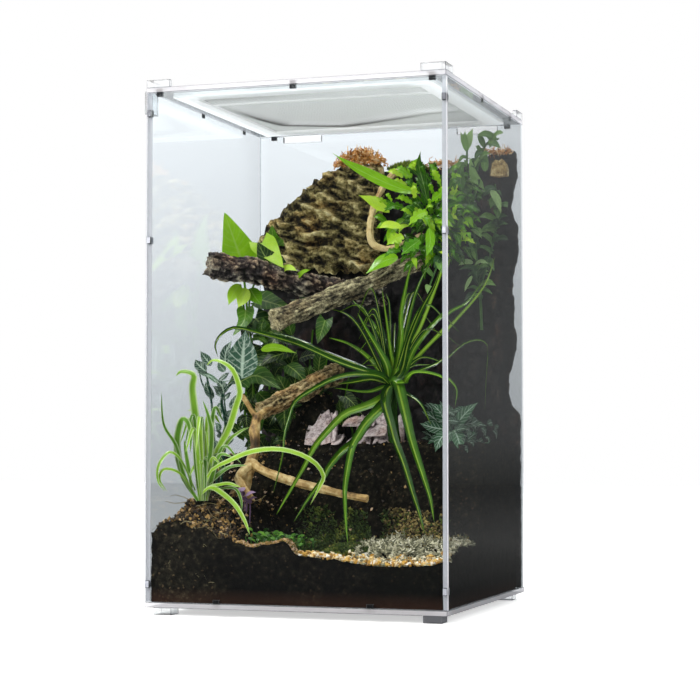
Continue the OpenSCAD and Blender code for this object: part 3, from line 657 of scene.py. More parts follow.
def spike(part, spot, lean, height, width, tone):
    """A tiny closed moss leaf: a three-sided spike."""
    first = len(part["verts"])
    a = chance.uniform(0, 2.1)
    for k in range(3):
        part["verts"].append(inside((spot[0] + math.cos(a + 2.1 * k) * width / 2,
                                     spot[1] + math.sin(a + 2.1 * k) * width / 2, spot[2]), 0.2))
    part["verts"].append(inside((spot[0] + lean[0], spot[1] + lean[1], spot[2] + height), 0.2))
    part["tone"] += [tone * 0.55] * 3 + [tone]
    part["faces"] += [(first + 2, first + 1, first), (first, first + 1, first + 3),
                      (first + 1, first + 2, first + 3), (first + 2, first, first + 3)]


chance = random.Random(13)
moss = new_part("tone")
dried = new_part("tone")
moss_leaves, tuft_gap, strands = 30000, 6.5, 44      # tries for moss, room between tufts, strands of a tuft
for _ in range(moss_leaves):
    x, y = chance.uniform(-40, 112), chance.uniform(-114, -14)
    z = ground(x, y)
    patchy = rough(x, y, 3, 20)
    if z > 80 + 8 * patchy or x > 62 and y < -78 or patchy < -0.35 or chance.random() > ease((x + 42) / 26):
        continue
    if x > 92 and z > 60:
        continue
    olive = max(0, rough(x, y, 9, 9))
    golden = ease((x + 18 * rough(x, y, 5, 14) - 28) / 30)
    if y > -78 and chance.random() < 0.75 * golden:
        s = chance.choice((1.6, 2.2, 3.0))
        tone = chance.random() * (0.3 + 0.7 * golden)
        chunk(dried, inside((x, y, z + 0.3 * s), 2.5), (s, s * 1.3, s * 0.8), tone)
        continue
    spike(moss, (x, y, z - 0.5), (chance.gauss(0, 1.6), chance.gauss(-0.8, 1.6)), chance.uniform(1.0, 2.8),
          chance.uniform(1.5, 3.0), min(1, 0.08 + 0.34 * chance.random() + 0.9 * olive))
# live moss: dark green, olive and straw by each leaf's tone, quite matt
sheet_moss = tinted("sheet_moss", ["#131f09", "#394f1a", "#727e2e", "#a1954a", "#c2b266"], 0.85)
piece("sheet_moss_leaves", moss, sheet_moss, "moss", "moss_mat", smooth=0)
# dried moss: dull gold crumbs
dried_moss = tinted("dried_moss", ["#17140b", "#41371b", "#766232", "#a9955e"], 0.9)
piece("dried_moss_crumbs", dried, dried_moss, "moss", smooth=0)

lichen = new_part("tone")
tufts = []
for _ in range(900):
    x, y = chance.uniform(36, 114), chance.uniform(-113, -30)
    z = ground(x, y)
    if chance.random() > ease(1.6 - math.hypot((x - 92) / 38, (z - 48) / 15)) or z > 68:
        continue
    if all(math.hypot(x - a, y - b) > tuft_gap for a, b in tufts):
        tufts.append((x, y))
for x, y in tufts:
    size = chance.uniform(4.5, 8.5)
    z = ground(x, y)
    for _ in range(strands):
        a, up = chance.uniform(0, round_way), chance.uniform(-0.1, 1.3)
        spot = (x + 0.4 * size * math.cos(a) * math.cos(up), y + 0.4 * size * math.sin(a) * math.cos(up),
                z + 0.3 * size * math.sin(up))
        strand(lichen, spot, a + chance.uniform(-0.7, 0.7), size * chance.uniform(0.6, 1.15),
               chance.uniform(1.0, 2.0), chance.choice((-1.0, -0.7, 0.7, 1.0)), 0.4 * up,
               0.15 + 0.85 * chance.random() ** 1.2)
# reindeer lichen: dry, cream and grey curls
pale_lichen = tinted("reindeer_lichen", ["#292b22", "#606048", "#99967a", "#c9c2a2", "#eae3cc"], 0.85)
piece("lichen_curls", lichen, pale_lichen, "lichen", "lichen_patch", smooth=0)


# ---------------------------------------------------------------- fine roots
# Thin pale roots of the grass and of the ferns show where the soil presses against the panes.
chance = random.Random(14)
roots = new_part("tone")
for _ in range(46):
    x, z = chance.gauss(-82, 13), chance.uniform(22, 74)
    if -112 < x < -52:
        strand(roots, (x, -116.9, z), chance.choice((0, math.pi)), chance.uniform(7, 17),
               chance.uniform(0.5, 1.0), 0.0, chance.uniform(-1.3, 1.3), chance.uniform(0.1, 0.9), links=8)
for _ in range(30):
    x, y = chance.uniform(-112, -60), chance.uniform(-108, -40)
    strand(roots, (x, y, ground(x, y) + 0.4), chance.uniform(0, 6.3), chance.uniform(10, 26), 0.8,
           chance.choice((-0.3, 0.3)), 0.1, chance.uniform(0.4, 1), links=7)
# young roots: straw brown threads
fine_root = tinted("fine_roots", ["#3d3524", "#6f6340", "#a3946a"], 0.8)
piece("fine_roots", roots, fine_root, "soil", smooth=0)


# ---------------------------------------------------------------- bark on the back wall
# A ragged sheet of dark cork bark covers the back wall, and a thick rugged slab of cork bark is
# wedged in front of it at the upper left. Both are cut from natural bark and left untrimmed.
def cut_sheet(name, outline, front, back, step, relief_of, torn, **finish):
    """A standing sheet whose outline is torn by so many millimetres: front and back give its faces'
    depth at a place."""
    xs = [p[0] for p in outline]
    zs = [p[1] for p in outline]
    x0, z0 = min(xs), min(zs)
    nx, nz = int((max(xs) - x0) / step) + 1, int((max(zs) - z0) / step) + 1

    pairs = list(zip(outline, outline[1:] + outline[:1]))

    def holds(x, z):
        odd = False
        for (ax, az), (bx, bz) in pairs:
            if (az > z) != (bz > z) and x < (bx - ax) * (z - az) / (bz - az) + ax:
                odd = not odd
        return odd

    def nearest(x, z):
        """Distance to the outline and the nearest place on it."""
        best = (1e9, x, z)
        for (ax, az), (bx, bz) in pairs:
            dx, dz = bx - ax, bz - az
            t = max(0, min(1, ((x - ax) * dx + (z - az) * dz) / max(1e-9, dx * dx + dz * dz)))
            best = min(best, (math.hypot(x - ax - t * dx, z - az - t * dz), ax + t * dx, az + t * dz))
        return best

    cells = {(i, k) for i in range(nx) for k in range(nz)
             if holds(x0 + (i + 0.5) * step, z0 + (k + 0.5) * step)}
    verts, faces, relief, index = [], [], [], {}

    def point(i, k, side):
        """A corner of the grid; those on the rim move onto the outline, which is torn by noise."""
        if (i, k, side) not in index:
            x, z = x0 + i * step, z0 + k * step
            d, rim_x, rim_z = nearest(x, z)
            if {(i, k), (i - 1, k), (i, k - 1), (i - 1, k - 1)} - cells:
                x, z, d = rim_x, rim_z, 0
            y = front(x, z, d) if side == 0 else back(x, z, d)
            near = max(0, 1 - d / 15)
            index[(i, k, side)] = len(verts)
            relief.append(relief_of(x, y, z))
            tear = torn * near * ease((z - 150) / 30)
            x -= tear * (0.5 + 0.5 * rough(x, 3, z, 8)) * (1 if x > 0 else -1)
            torn_z = max(bark_foot, z + tear * rough(x, 8, z, 7))
            verts.append((x + 0.3 * step * rough(x, 1, z, 8), y, torn_z))
        return index[(i, k, side)]

    for i, k in sorted(cells):
        faces.append(tuple(point(a, b, 0) for a, b in ((i, k), (i + 1, k), (i + 1, k + 1), (i, k + 1))))
        faces.append(tuple(point(a, b, 1) for a, b in ((i, k + 1), (i + 1, k + 1), (i + 1, k), (i, k))))
        for near, a, b in (((i - 1, k), (i, k + 1), (i, k)), ((i + 1, k), (i + 1, k), (i + 1, k + 1)),
                           ((i, k - 1), (i, k), (i + 1, k)), ((i, k + 1), (i + 1, k + 1), (i, k + 1))):
            if near not in cells:
                faces.append((point(*b, 0), point(*a, 0), point(*a, 1), point(*b, 1)))
    return piece(name, {"verts": verts, "faces": faces, "relief": relief}, **finish)


def bark(name, codes, roughness=0.88, fine=0.5, mottle=0.3, warm=0.6):
    """Bark: dark in its cracks and paler on its ridges, partly its own colour and partly painted shade and
    painted highlight, with a fine corky grain, mottled, and rusty in places."""
    material, tree, out = new_material(name)
    place = add(tree, "TexCoord").outputs["Object"]
    mark = add(tree, "Attribute", attribute_name="relief")
    patch = add(tree, "TexNoise", {"Scale": 330.0, "Detail": 7.0, "Roughness": 0.75}, {"Vector": place})
    blend = add(tree, "MapRange", {"From Min": 0.3, "From Max": 0.7, "To Min": -mottle, "To Max": mottle},
                {"Value": patch.outputs["Fac"]})
    # the relief mark sets the colour: partly the bark's own, partly painted shade in the cracks and painted
    # highlight on the ridges
    total = add(tree, "Math", {}, {0: mark.outputs["Fac"], 1: blend.outputs[0]}, operation="ADD")
    tint = add(tree, "ValToRGB", {}, {0: total.outputs[0]}, stops=even(codes)).outputs[0]
    cork_grain = add(tree, "TexNoise", {"Scale": 620.0, "Detail": 5.0, "Roughness": 0.7}, {"Vector": place})
    bump = add(tree, "Bump", {"Strength": fine, "Distance": 0.9 * MM}, {"Height": cork_grain.outputs["Fac"]})
    area = add(tree, "TexNoise", {"Scale": 38.0, "Detail": 3.0}, {"Vector": place})
    rusty = add(tree, "MapRange", {"From Min": 0.5, "From Max": 0.72, "To Max": warm},
                {"Value": area.outputs["Fac"]})
    warmed = add(tree, "Mix", {7: linear("#d98a45")}, {0: rusty.outputs[0], 6: tint}, data_type="RGBA",
                 blend_type="SOFT_LIGHT")
    skin = add(tree, "BsdfPrincipled", {"Roughness": roughness, "Specular IOR Level": 0.3},
               {"Base Color": warmed.outputs[2], "Normal": bump.outputs[0]})
    tree.links.new(skin.outputs[0], out.inputs[0])
    return material


def ridges(x, y, z, size):
    """Height of rugged bark from 0 in its cracks to 1 on its ridges."""
    v = noise.ridged_multi_fractal(Vector((x, y, z)) / size, 0.9, 2.1, 4, 1.0, 2.0)
    return max(0.0, min(1.0, v / 2.6))


def plates(x, y, z, size):
    """Bark plates: 0 in the cracks between them, 1 on their tops."""
    p = Vector((x, y, z)) / size
    d = noise.voronoi(p + 0.4 * noise.noise_vector(p * 1.7))[0]
    return ease((d[1] - d[0]) * 2.4)


bark_foot = 10.4         # where the bark sheet stands on the base plate
sheet_top = [(-114.5, 303), (-95, 321), (-71, 347), (-40, 364), (6, 371.5), (41, 372), (71, 374), (80, 379),
             (88, 377), (101, 386), (108, 384)]
ragged = [(112, 388), (116.5, 380), (117.4, 365), (114, 352), (112, 340), (114, 328), (117.4, 318),
          (117.4, 300),
          (116, 288), (112.5, 276), (112, 262), (114.5, 250), (113, 238), (116, 226), (115, 214),
          (112, 203),
          (109.5, 190), (108.5, 176), (111, 165), (117.3, 158), (117.4, 120), (117.4, 60),
          (117.4, bark_foot)]
outline = sheet_top + ragged + [(-114.5, bark_foot)]
# old cork bark: nearly black, with brown ridges and rusty patches
dark_bark = bark("dark_cork_bark", ["#070606", "#171416", "#2c2624", "#4d3d33", "#86684f"],
                 mottle=0.24, warm=0.8)


def sheet_front(x, z, d):
    lump = 5.0 * ridges(x, 0, z * 0.6, 26) + 4.0 * plates(x, 5, z * 0.6, 12)
    return min(115.5, 107.5 - lump + 9 * (1 - ease(d / 9)))


def sheet_back(x, z, d):
    return 117.2 - 1.1 * ridges(x, 3, z * 0.5, 12)


def sheet_relief(x, y, z):
    """How pale the sheet is: on its ridges, on its back, and along one upright scar at the right."""
    # pale on the ridges: partly wear, partly painted highlight
    worn = 0.6 * plates(x, 5, z * 0.6, 12) * ridges(x, 5, z * 0.5, 7) + 0.06
    back = (0.2 + 0.3 * rough(x, 4, z * 0.7, 7)) * (y > 112)
    scar = 0.4 * math.exp(-((x - 99 - 3 * rough(x, 1, z, 40)) / 5) ** 2)
    return worn + back + scar * (0.6 + 0.5 * rough(x, 2, z * 0.3, 6))


cut_sheet("back_bark_sheet", outline, sheet_front, sheet_back, 2.0, sheet_relief, torn=3.0,
          material=dark_bark, slot="dark_bark", stands_for="backing_bark", smooth=50)

# raw cork: pale olive ridges over dark cracks, partly its own colour and partly painted highlight and shade
cork = bark("rugged_cork_bark", ["#0c0b07", "#443b21", "#8b7f50", "#c4b57c", "#ede2b2"],
            fine=1.0, mottle=0.42, warm=0.45)
slab_outline = [(-108, 272), (-113, 290), (-113, 312), (-107, 324), (-95, 334), (-79, 348), (-65, 360),
                (-50, 370), (-34, 376), (0, 376), (7, 374), (8, 344), (2, 305), (0, 279), (-28, 281),
                (-60, 285)]


def ledge(x, z):
    """The slab's thick growth layers: each juts out more towards its top, where it breaks off."""
    layer = (z + 0.3 * x + 9 * rough(x, 12, z, 34, 2)) / 17
    t = layer - math.floor(layer)
    return (t / 0.84 if t < 0.84 else (1 - t) / 0.16) * (0.35 + 0.65 * plates(x * 0.8, 7, z, 26))


def crust(x, z):
    """The slab's rugged surface, stretched along its layers: (how far it juts out, how pale it is). Its
    paleness is partly the cork's own colour and partly painted highlight on each layer's jutting top and
    painted shade in its cracks.
    """
    u, w = 0.6 * (x - 0.3 * z), 1.3 * (z + 0.3 * x)
    layer, plate, ridge, fine = ledge(x, z), plates(u, 4, w, 13), ridges(u, 9, w, 10), rough(u, 2, w, 5, 4)
    return (10.5 * layer + 3.5 * plate + 4.5 * ridge + 3.0 * fine,
            0.42 * layer + 0.14 * plate + 0.42 * ridge + 0.5 * fine)


def slab_front(x, z, d):
    lump = crust(x, z)[0] + 1.3 * rough(x, 6, z, 2.2, 2)
    return max(70.0, min(95.5, 92 - lump + 9 * (1 - ease(d / 8)) ** 2))


cut_sheet("rugged_cork_slab", slab_outline, slab_front, lambda x, z, d: 97.0 - 1.2 * ease(1 - d / 6), 1.05,
          lambda x, y, z: crust(x, z)[1], torn=5.0, material=cork, slot="cork", stands_for="cork_slab",
          smooth=40)


# ---------------------------------------------------------------- branches and bark log
# Two cork-oak branches are wedged into the bark at their rear ends, and a short log of rough bark
# leans on the knoll. Their front ends are sawn or broken and show the paler wood.
def smooth_line(points, count):
    """A smooth run through a few points, resampled evenly by parameter."""
    pts = [Vector(p) for p in points]
    pts = [2 * pts[0] - pts[1]] + pts + [2 * pts[-1] - pts[-2]]
    spans = len(pts) - 3
    line = []
    for i in range(count + 1):
        u = i / count * spans
        k = min(spans - 1, int(u))
        t = u - k
        a, b, c, d = pts[k:k + 4]
        line.append(0.5 * (2 * b + (c - a) * t + (2 * a - 5 * b + 4 * c - d) * t * t
                           + (3 * b - 3 * c + d - a) * t * t * t))
    return line


def stem(part, points, r0, r1, sides, count, swell=None, mark="tone", value=0.5, cut=None, ragged=0.0):
    """A round stem through points with closed ends. swell gives each place's extra radius and its
    relief, cut is the relief on the end faces, and ragged is how far the ends are broken."""
    line = smooth_line(points, count)
    first = len(part["verts"])
    side = None
    n = len(line)
    for k, p in enumerate(line):
        ahead = (line[min(n - 1, k + 1)] - line[max(0, k - 1)]).normalized()
        if side is None:
            side = ahead.cross(Vector((0, 0, 1)) if abs(ahead.z) < 0.9 else Vector((1, 0, 0)))
        side = (side - ahead * side.dot(ahead)).normalized()
        over = ahead.cross(side)
        r = r0 + (r1 - r0) * k / (n - 1)
        for s in range(sides):
            a = 2 * math.pi * s / sides
            out_way = side * math.cos(a) + over * math.sin(a)
            extra, relief = swell(p + out_way * r, a, k / (n - 1)) if swell else (0, value)
            torn = ragged * rough(9 * math.cos(a), 9 * math.sin(a), k, 5) * max(0, 1 - min(k, n - 1 - k) / 4)
            part["verts"].append(tuple(p + out_way * (r + extra) + ahead * torn))
            part[mark].append(relief)
        if k:
            row = first + k * sides
            for s in range(sides):
                t = (s + 1) % sides
                part["faces"].append((row - sides + s, row - sides + t, row + t, row + s))
    for k, flip in ((0, True), (n - 1, False)):
        row = first + k * sides
        hub = line[k]
        inner_first = len(part["verts"])
        for s in range(sides):
            p = Vector(part["verts"][row + s])
            broken = ragged * 0.3 * rough(s, 1, k, 3)
            part["verts"].append(tuple(hub + (p - hub) * 0.55 + Vector((broken, 0, 0))))
            part[mark].append(value if cut is None else cut)
        for s in range(sides):
            t = (s + 1) % sides
            quad = (row + s, row + t, inner_first + t, inner_first + s)
            part["faces"].append(tuple(reversed(quad)) if flip else quad)
        cap = tuple(range(inner_first, inner_first + sides))
        part["faces"].append(tuple(reversed(cap)) if flip else cap)


def bark_swell(depth, size, run, stretch=0.5, furrows=0.0):
    """Rough bark round a limb of length run: plates and cracks that are stretched along it, and the
    long furrows of older wood."""
    def at(p, a, t):
        q = (11 * math.cos(a), 11 * math.sin(a), t * run * stretch)
        v = 0.55 * plates(*q, size * 0.7) + 0.65 * ridges(*q, size * 0.6)
        long_way = (11 * math.cos(a), 11 * math.sin(a), t * run * stretch * 0.4)
        v += furrows * (1.3 * ridges(*long_way, size * 0.5) - v)
        fine = rough(*q, 2.4, 4)
        lump = rough(p.x, p.y, p.z, 24, 2)
        # the relief is paler on the ridges and darker in the cracks: partly the bark's own colour, partly
        # painted highlight and shade
        return depth * (v - 0.55) + 0.9 * fine + 2.0 * lump, v - 0.12 + 0.4 * fine
    return at


def log_piece(name, limbs, material, slot, stands_for, ragged=0.0):
    part = new_part("relief")
    for points, r0, r1, sides, count, swell, cut in limbs:
        stem(part, points, r0, r1, sides, count, swell, "relief", cut=cut, ragged=ragged)
    return piece(name, part, material, slot, stands_for, smooth=50)


# oak branch: dark grey plates with pale edges, partly worn and partly painted highlight
branch_bark = bark("dark_oak_branch_bark", ["#0a0909", "#231f20", "#46403e", "#807869", "#bfb59a"],
                   fine=1.0, mottle=0.4, warm=0.5)
log_piece("branch_upper_bark",
          [([(-107, -26, 280), (-85, -2, 278), (-61, 21, 272), (-38, 45, 266), (-16, 64, 262),
           (5, 87, 261)],
            10.2, 9.0, 64, 180, bark_swell(3.8, 9, 190, 0.5, 0.2), 0.75)],
          branch_bark, "dark_bark", "branch_upper", ragged=6)
# weathered branch: grey-tan long furrows
pale_branch_bark = bark("weathered_branch_bark", ["#12110c", "#403a2b", "#7a7156", "#b2a881", "#e0d6ae"],
                        fine=1.0, mottle=0.4, warm=0.2)
log_piece("branch_lower_bark",
          [([(-45, -40, 232), (-27, -18, 243), (-8, 8, 255), (14, 36, 268), (33, 66, 284), (44, 88, 290)],
            8.4, 7.2, 56, 170, bark_swell(3.0, 8, 175, 0.3, 0.75), 0.6)],
          pale_branch_bark, "cork", "branch_lower", ragged=3)
# tan bark: dry and rough
rough_bark = bark("rough_tan_bark", ["#17130b", "#504229", "#8f7b52", "#bfab7e", "#dccda4"],
                  fine=1.0, mottle=0.4)
log_piece("bark_log_rough",
          [([(-63, -25, 159), (-50, -8, 168), (-40, 8, 176), (-28, 24, 186), (-18, 40, 191)],
            7.4, 8.4, 48, 100, bark_swell(2.8, 7, 85, 0.4, 0.5), 0.8)],
          rough_bark, "cork", "bark_log", ragged=4)


# ---------------------------------------------------------------- driftwood and root loop
# A forked piece of sandblasted driftwood stands in the mound with one long root lying to the right,
# and a pale debarked root makes a loop at the top of the bark.
# sandblasted wood: warm tan, bleached on its lumps, with dark streaks and a soft sheen
driftwood, tree, out = new_material("sandblasted_driftwood")
place = add(tree, "TexCoord").outputs["Object"]
mark = add(tree, "Attribute", attribute_name="relief")
streak = add(tree, "TexNoise", {"Scale": 260.0, "Detail": 4.0}, {"Vector": place})
total = add(tree, "Math", {}, {0: mark.outputs["Fac"], 1: streak.outputs["Fac"]}, operation="MULTIPLY")
tint = add(tree, "ValToRGB", {}, {0: total.outputs[0]},
           stops=[(0.05, "#37260f"), (0.15, "#6f5129"), (0.27, "#b08c50"), (0.5, "#e0c890")]).outputs[0]
grain = add(tree, "TexNoise", {"Scale": 800.0, "Detail": 3.0}, {"Vector": place})
bump = add(tree, "Bump", {"Strength": 0.35, "Distance": 0.3 * MM}, {"Height": grain.outputs["Fac"]})
skin = add(tree, "BsdfPrincipled", {"Roughness": 0.6}, {"Base Color": tint, "Normal": bump.outputs[0]})
tree.links.new(skin.outputs[0], out.inputs[0])


def wood_swell(depth, size, pale=0.55):
    """Worn wood: soft lumps, with shallow grooves along the grain. pale is how bleached it is."""
    def at(p, a, t):
        v = rough(p.x * 0.6, p.y * 0.6, p.z * 0.6, size)
        groove = 0.3 * math.sin(a * 7 + 3 * v)
        return depth * v + groove, pale + 0.45 * v + 0.2 * groove
    return at


knot = wood_swell(1.5, 7, 0.4)
log_piece("driftwood_fork",
          [([(-66, -60, 84), (-62, -59, 100), (-59, -57, 113), (-58, -50, 130), (-61, -42, 148),
           (-60, -38, 156)],
            4.2, 3.9, 22, 46, knot, 0.4),
           ([(-60, -40, 153), (-65, -42, 161), (-70, -44, 170),
             (-75, -45, 178)], 2.3, 0.9, 12, 20, knot, 0.5),
           ([(-60, -40, 154), (-56, -34, 159), (-51, -28, 162)], 2.3, 1.3, 12, 14, knot, 0.5),
           ([(-58, -57, 116), (-61, -61, 113), (-64, -66, 108), (-63, -70, 104), (-58, -74, 100),
             (-52, -78, 93),
             (-49, -80, 87)], 4.0, 2.6, 18, 40, wood_swell(1.1, 8, 0.62), 0.05),
           ([(-62, -60, 108), (-67, -64, 100), (-72, -68, 90)], 3.2, 2.0, 14, 18, knot, 0.5),
           ([(-60, -57, 118), (-47, -60, 112), (-28, -62, 105), (-4, -63, 99), (20, -63, 94),
             (42, -64, 90)],
            3.7, 2.8, 20, 70, wood_swell(0.9, 9, 0.62), 0.75)],
          driftwood, "driftwood", "driftwood")
log_piece("root_loop_pale",
          [([(24, 93, 367), (20, 80, 365), (14, 66, 352), (9, 54, 332), (7, 50, 312), (10, 50, 301),
           (20, 54, 297),
             (30, 60, 300), (37, 74, 306),
             (40, 93, 312)], 2.9, 2.2, 18, 110, wood_swell(0.7, 9, 0.85), 0.8)],
          driftwood, "driftwood", "root_loop")


# ---------------------------------------------------------------- pale bark chips
# Flat flakes of pale inner bark, pinkish grey, are pushed into the top of the bank.
chips = new_part("relief")


def flake(chips, x, y, z, wide, tall, lean, turn, thick=3.2):
    """A flat flake with a broken outline, standing on a place and leaning back."""
    rim = [(-0.5, 0.0), (-0.15, -0.03), (0.25, 0.0), (0.5, 0.05), (0.52, 0.4), (0.4, 0.75), (0.2, 1.0),
           (0.0, 0.86), (-0.2, 0.95), (-0.42, 0.7), (-0.5, 0.35)]
    first = len(chips["verts"])
    n = len(rim)
    for side in (0, 1):
        for scale in (1.0, 0.5):
            for u, v in rim:
                u, v = u * scale, (v - 0.5) * scale + 0.5
                j = 1.2 * rough(u * 30 + x, side * 9, v * 30, 7)
                px = (u * wide + 0.7 * j) * math.cos(turn)
                py = (u * wide) * math.sin(turn) + math.tan(lean) * v * tall + side * thick + 0.6 * j
                chips["verts"].append((x + px, y + py, z + v * tall + 0.4 * j))
                chips["relief"].append(0.45 + 0.5 * rough(x + u * wide, side * 5, v * tall, 6))
    for side in (0, 1):
        a, b = first + side * 2 * n, first + side * 2 * n + n
        for s in range(n):
            t = (s + 1) % n
            quad = (a + s, a + t, b + t, b + s)
            chips["faces"].append(quad if side == 0 else tuple(reversed(quad)))
        cap = tuple(range(b, b + n))
        chips["faces"].append(cap if side == 0 else tuple(reversed(cap)))
    for s in range(n):
        t = (s + 1) % n
        chips["faces"].append((first + t, first + s, first + 2 * n + s, first + 2 * n + t))


for chip in [(-24, 3, 132, 21, 29, 0.5, 0.15), (-15, 8, 134, 14, 26, 0.45, -0.5),
             (-36, 6, 131, 11, 13, 1.0, 0.6),
             (-8, 2, 132, 8, 9, 1.1, -0.2), (12, 13, 131, 15, 27, 0.3, -0.2),
             (26, 14, 131, 18, 32, 0.25, -0.3),
             (40, 13, 131, 13, 27, 0.3, 0.1), (10, 7, 147, 25, 9, 0.9, 0.3),
             (24, 5, 139, 22, 10, 0.9, -0.25),
             (8, 2, 132, 13, 8, 1.1, 0.5), (34, 2, 129, 19, 17, 0.7, 0.2)]:
    flake(chips, *chip)
# inner bark: smooth, chalky, pinkish grey
pale_bark = bark("pale_inner_bark", ["#57474a", "#a19190", "#cabcba", "#e4d9d7"],
                 roughness=0.75, fine=0.5, mottle=0.5)
piece("pale_bark_flakes", chips, pale_bark, "pale_bark", "bark_chips", smooth=45)
tan_chip = new_part("relief")
flake(tan_chip, 104, 95, 361, 13, 15, 0.1, 0.3, thick=9.0)
# fresh inner bark: light tan
tan_bark = bark("tan_inner_bark", ["#5c4426", "#a98a52", "#d6bd84", "#efe0b2"],
                roughness=0.75, mottle=0.5)
piece("tan_bark_flake", tan_chip, tan_bark, "pale_bark", smooth=45)


# ---------------------------------------------------------------- sphagnum and moss on the top edge
# A tuft of dried orange sphagnum and a cushion of live moss are stuffed along the top of the bark.
chance = random.Random(22)
tuft = new_part("tone")
for _ in range(560):
    x = chance.gauss(-14, 10)
    if not -38 < x < 7:
        continue
    top = 12 * (1 - ((x + 14) / 25) ** 2)
    strand(tuft, (x, chance.uniform(79, 96), 374.5 + chance.uniform(0, max(1, top))), chance.uniform(0, 6.3),
           chance.uniform(4, 9), chance.uniform(1.2, 2.4), chance.choice((-1.2, 1.2)),
           chance.uniform(-0.4, 1.0), chance.random())
for x0, x1, z, n in ((42, 66, 373, 90), (86, 112, 381, 110), (-50, -36, 366, 40)):
    for _ in range(n):
        strand(tuft, (chance.uniform(x0, x1), chance.uniform(101, 113), z + chance.uniform(0, 4)),
               chance.uniform(0, 6.3), chance.uniform(5, 9), chance.uniform(0.8, 1.5),
               chance.choice((-1.0, 1.0)), chance.uniform(-0.4, 0.7), chance.random())
# dried sphagnum: orange to cream strands that let some light through
sphagnum = tinted("dried_sphagnum", ["#9a6222", "#dc9a48", "#f3c37c", "#fde6b8"], 0.85, 0.3)
piece("sphagnum_strands", tuft, sphagnum, "sphagnum", "sphagnum_tuft", smooth=0)
cushion = new_part("tone")
for _ in range(1500):
    x, y = chance.uniform(7, 41), chance.uniform(98, 116)
    dome = 7 * (1 - ((x - 24) / 18) ** 2) * (1 - ((y - 107) / 14) ** 2)
    z = 370.5 + max(0, dome) * chance.uniform(0.3, 1)
    spike(cushion, (x, y, z), (chance.gauss(0, 1), chance.gauss(0, 1)), chance.uniform(1.5, 3.5),
          chance.uniform(1.0, 1.8), chance.uniform(0.3, 1))
# cushion moss: bright olive
cushion_moss = tinted("cushion_moss", ["#1d2a0a", "#4c6414", "#8a9c2c", "#b9bb49"], 0.8)
piece("cushion_moss_leaves", cushion, cushion_moss, "moss", "moss_cushion", smooth=0)


# ---------------------------------------------------------------- striped grass at the left
# A spider-plant like tuft on the mound: soft blades with cream margins that arch over and fold.
# Each blade is a thin closed leaf with a crease along its middle.
def outline_of(shape, u):
    """Half-width of a leaf shape along its length, from 0 to 1."""
    if shape == "blade":
        return (0.5 + 0.5 * ease(u * 4)) * max(0.0, 1 - u ** 2.6) ** 0.8 + 0.02
    if shape == "arch":
        return (0.6 + 0.4 * ease(u * 5)) * max(0.0, 1 - u) ** 0.62 + 0.02
    if shape == "lance":
        return (0.12 + 0.88 * math.sin(math.pi * min(1, u ** 0.8)) ** 0.9) * (1 - 0.98 * u ** 6)
    if shape == "heart":
        return (0.72 + 0.28 * ease(u * 6)) * max(0.0, 1 - u ** 1.35) ** 0.9 + 0.015
    body = (0.1 + 0.9 * math.sin(math.pi * min(1, u ** 0.72)) ** 0.8) * (1 - 0.96 * u ** 6)
    if shape == "lobed":
        body *= 0.42 + 0.58 * abs(math.sin(math.pi * (4.5 * u + 0.12))) ** 0.7
    return body


def leaf(part, points, width, shape, tone, fold=0.22, wave=0.0, facing=(0.3, -0.8, 0.55), thick=0.35):
    """A thin closed leaf along points, with its upper side turned to facing."""
    rows = {"blade": 22, "arch": 24, "lobed": 34}.get(shape, 16)
    line = smooth_line(points, rows)
    length = sum((b - a).length for a, b in zip(line, line[1:]))
    first = len(part["verts"])
    for k, p in enumerate(line):
        u = k / rows
        ahead = (line[min(rows, k + 1)] - line[max(0, k - 1)]).normalized()
        side = ahead.cross(Vector(facing)).normalized()
        up = side.cross(ahead)
        half = width / 2 * outline_of(shape, u)
        for v, face in ((-1, 0), (-0.5, 1), (0, 1), (0.5, 1), (1, 0), (0.5, -1), (0, -1), (-0.5, -1)):
            ear = 0.2 * length * abs(v) ** 1.5 * max(0, 1 - u / 0.4) ** 2 if shape == "heart" else 0
            bend = fold * half * abs(v) + wave * half * v * math.sin(9 * u + 2 * v)
            q = p + side * v * half - ahead * ear + up * (bend + face * thick / 2)
            part["verts"].append(inside(q, 0.2))
            part["uvs"].append((u, v / 2 + 0.5))
            part["tone"].append(tone)
    for k in range(rows):
        row = first + 8 * k
        for s in range(8):
            t = (s + 1) % 8
            part["faces"].append((row + s, row + t, row + 8 + t, row + 8 + s))
    part["faces"].append(tuple(range(first + 7, first - 1, -1)))
    part["faces"].append(tuple(range(first + 8 * rows, first + 8 * rows + 8)))


def small_leaf(part, start, end, lift, width, shape, tone, **finish):
    """A leaf from start to end, with its middle moved by lift."""
    start, end = Vector(start), Vector(end)
    leaf(part, [start, (start + end) / 2 + Vector(lift), end], width, shape, tone, **finish)


def stalk(part, points, radius, tone=0.4, tip=0.7):
    """A thin round stalk that belongs to a plant."""
    stem(part, points, radius, radius * tip, sides=6, count=4 * len(points), value=tone)
    part["uvs"] += [(0.5, 0.35)] * (len(part["verts"]) - len(part["uvs"]))


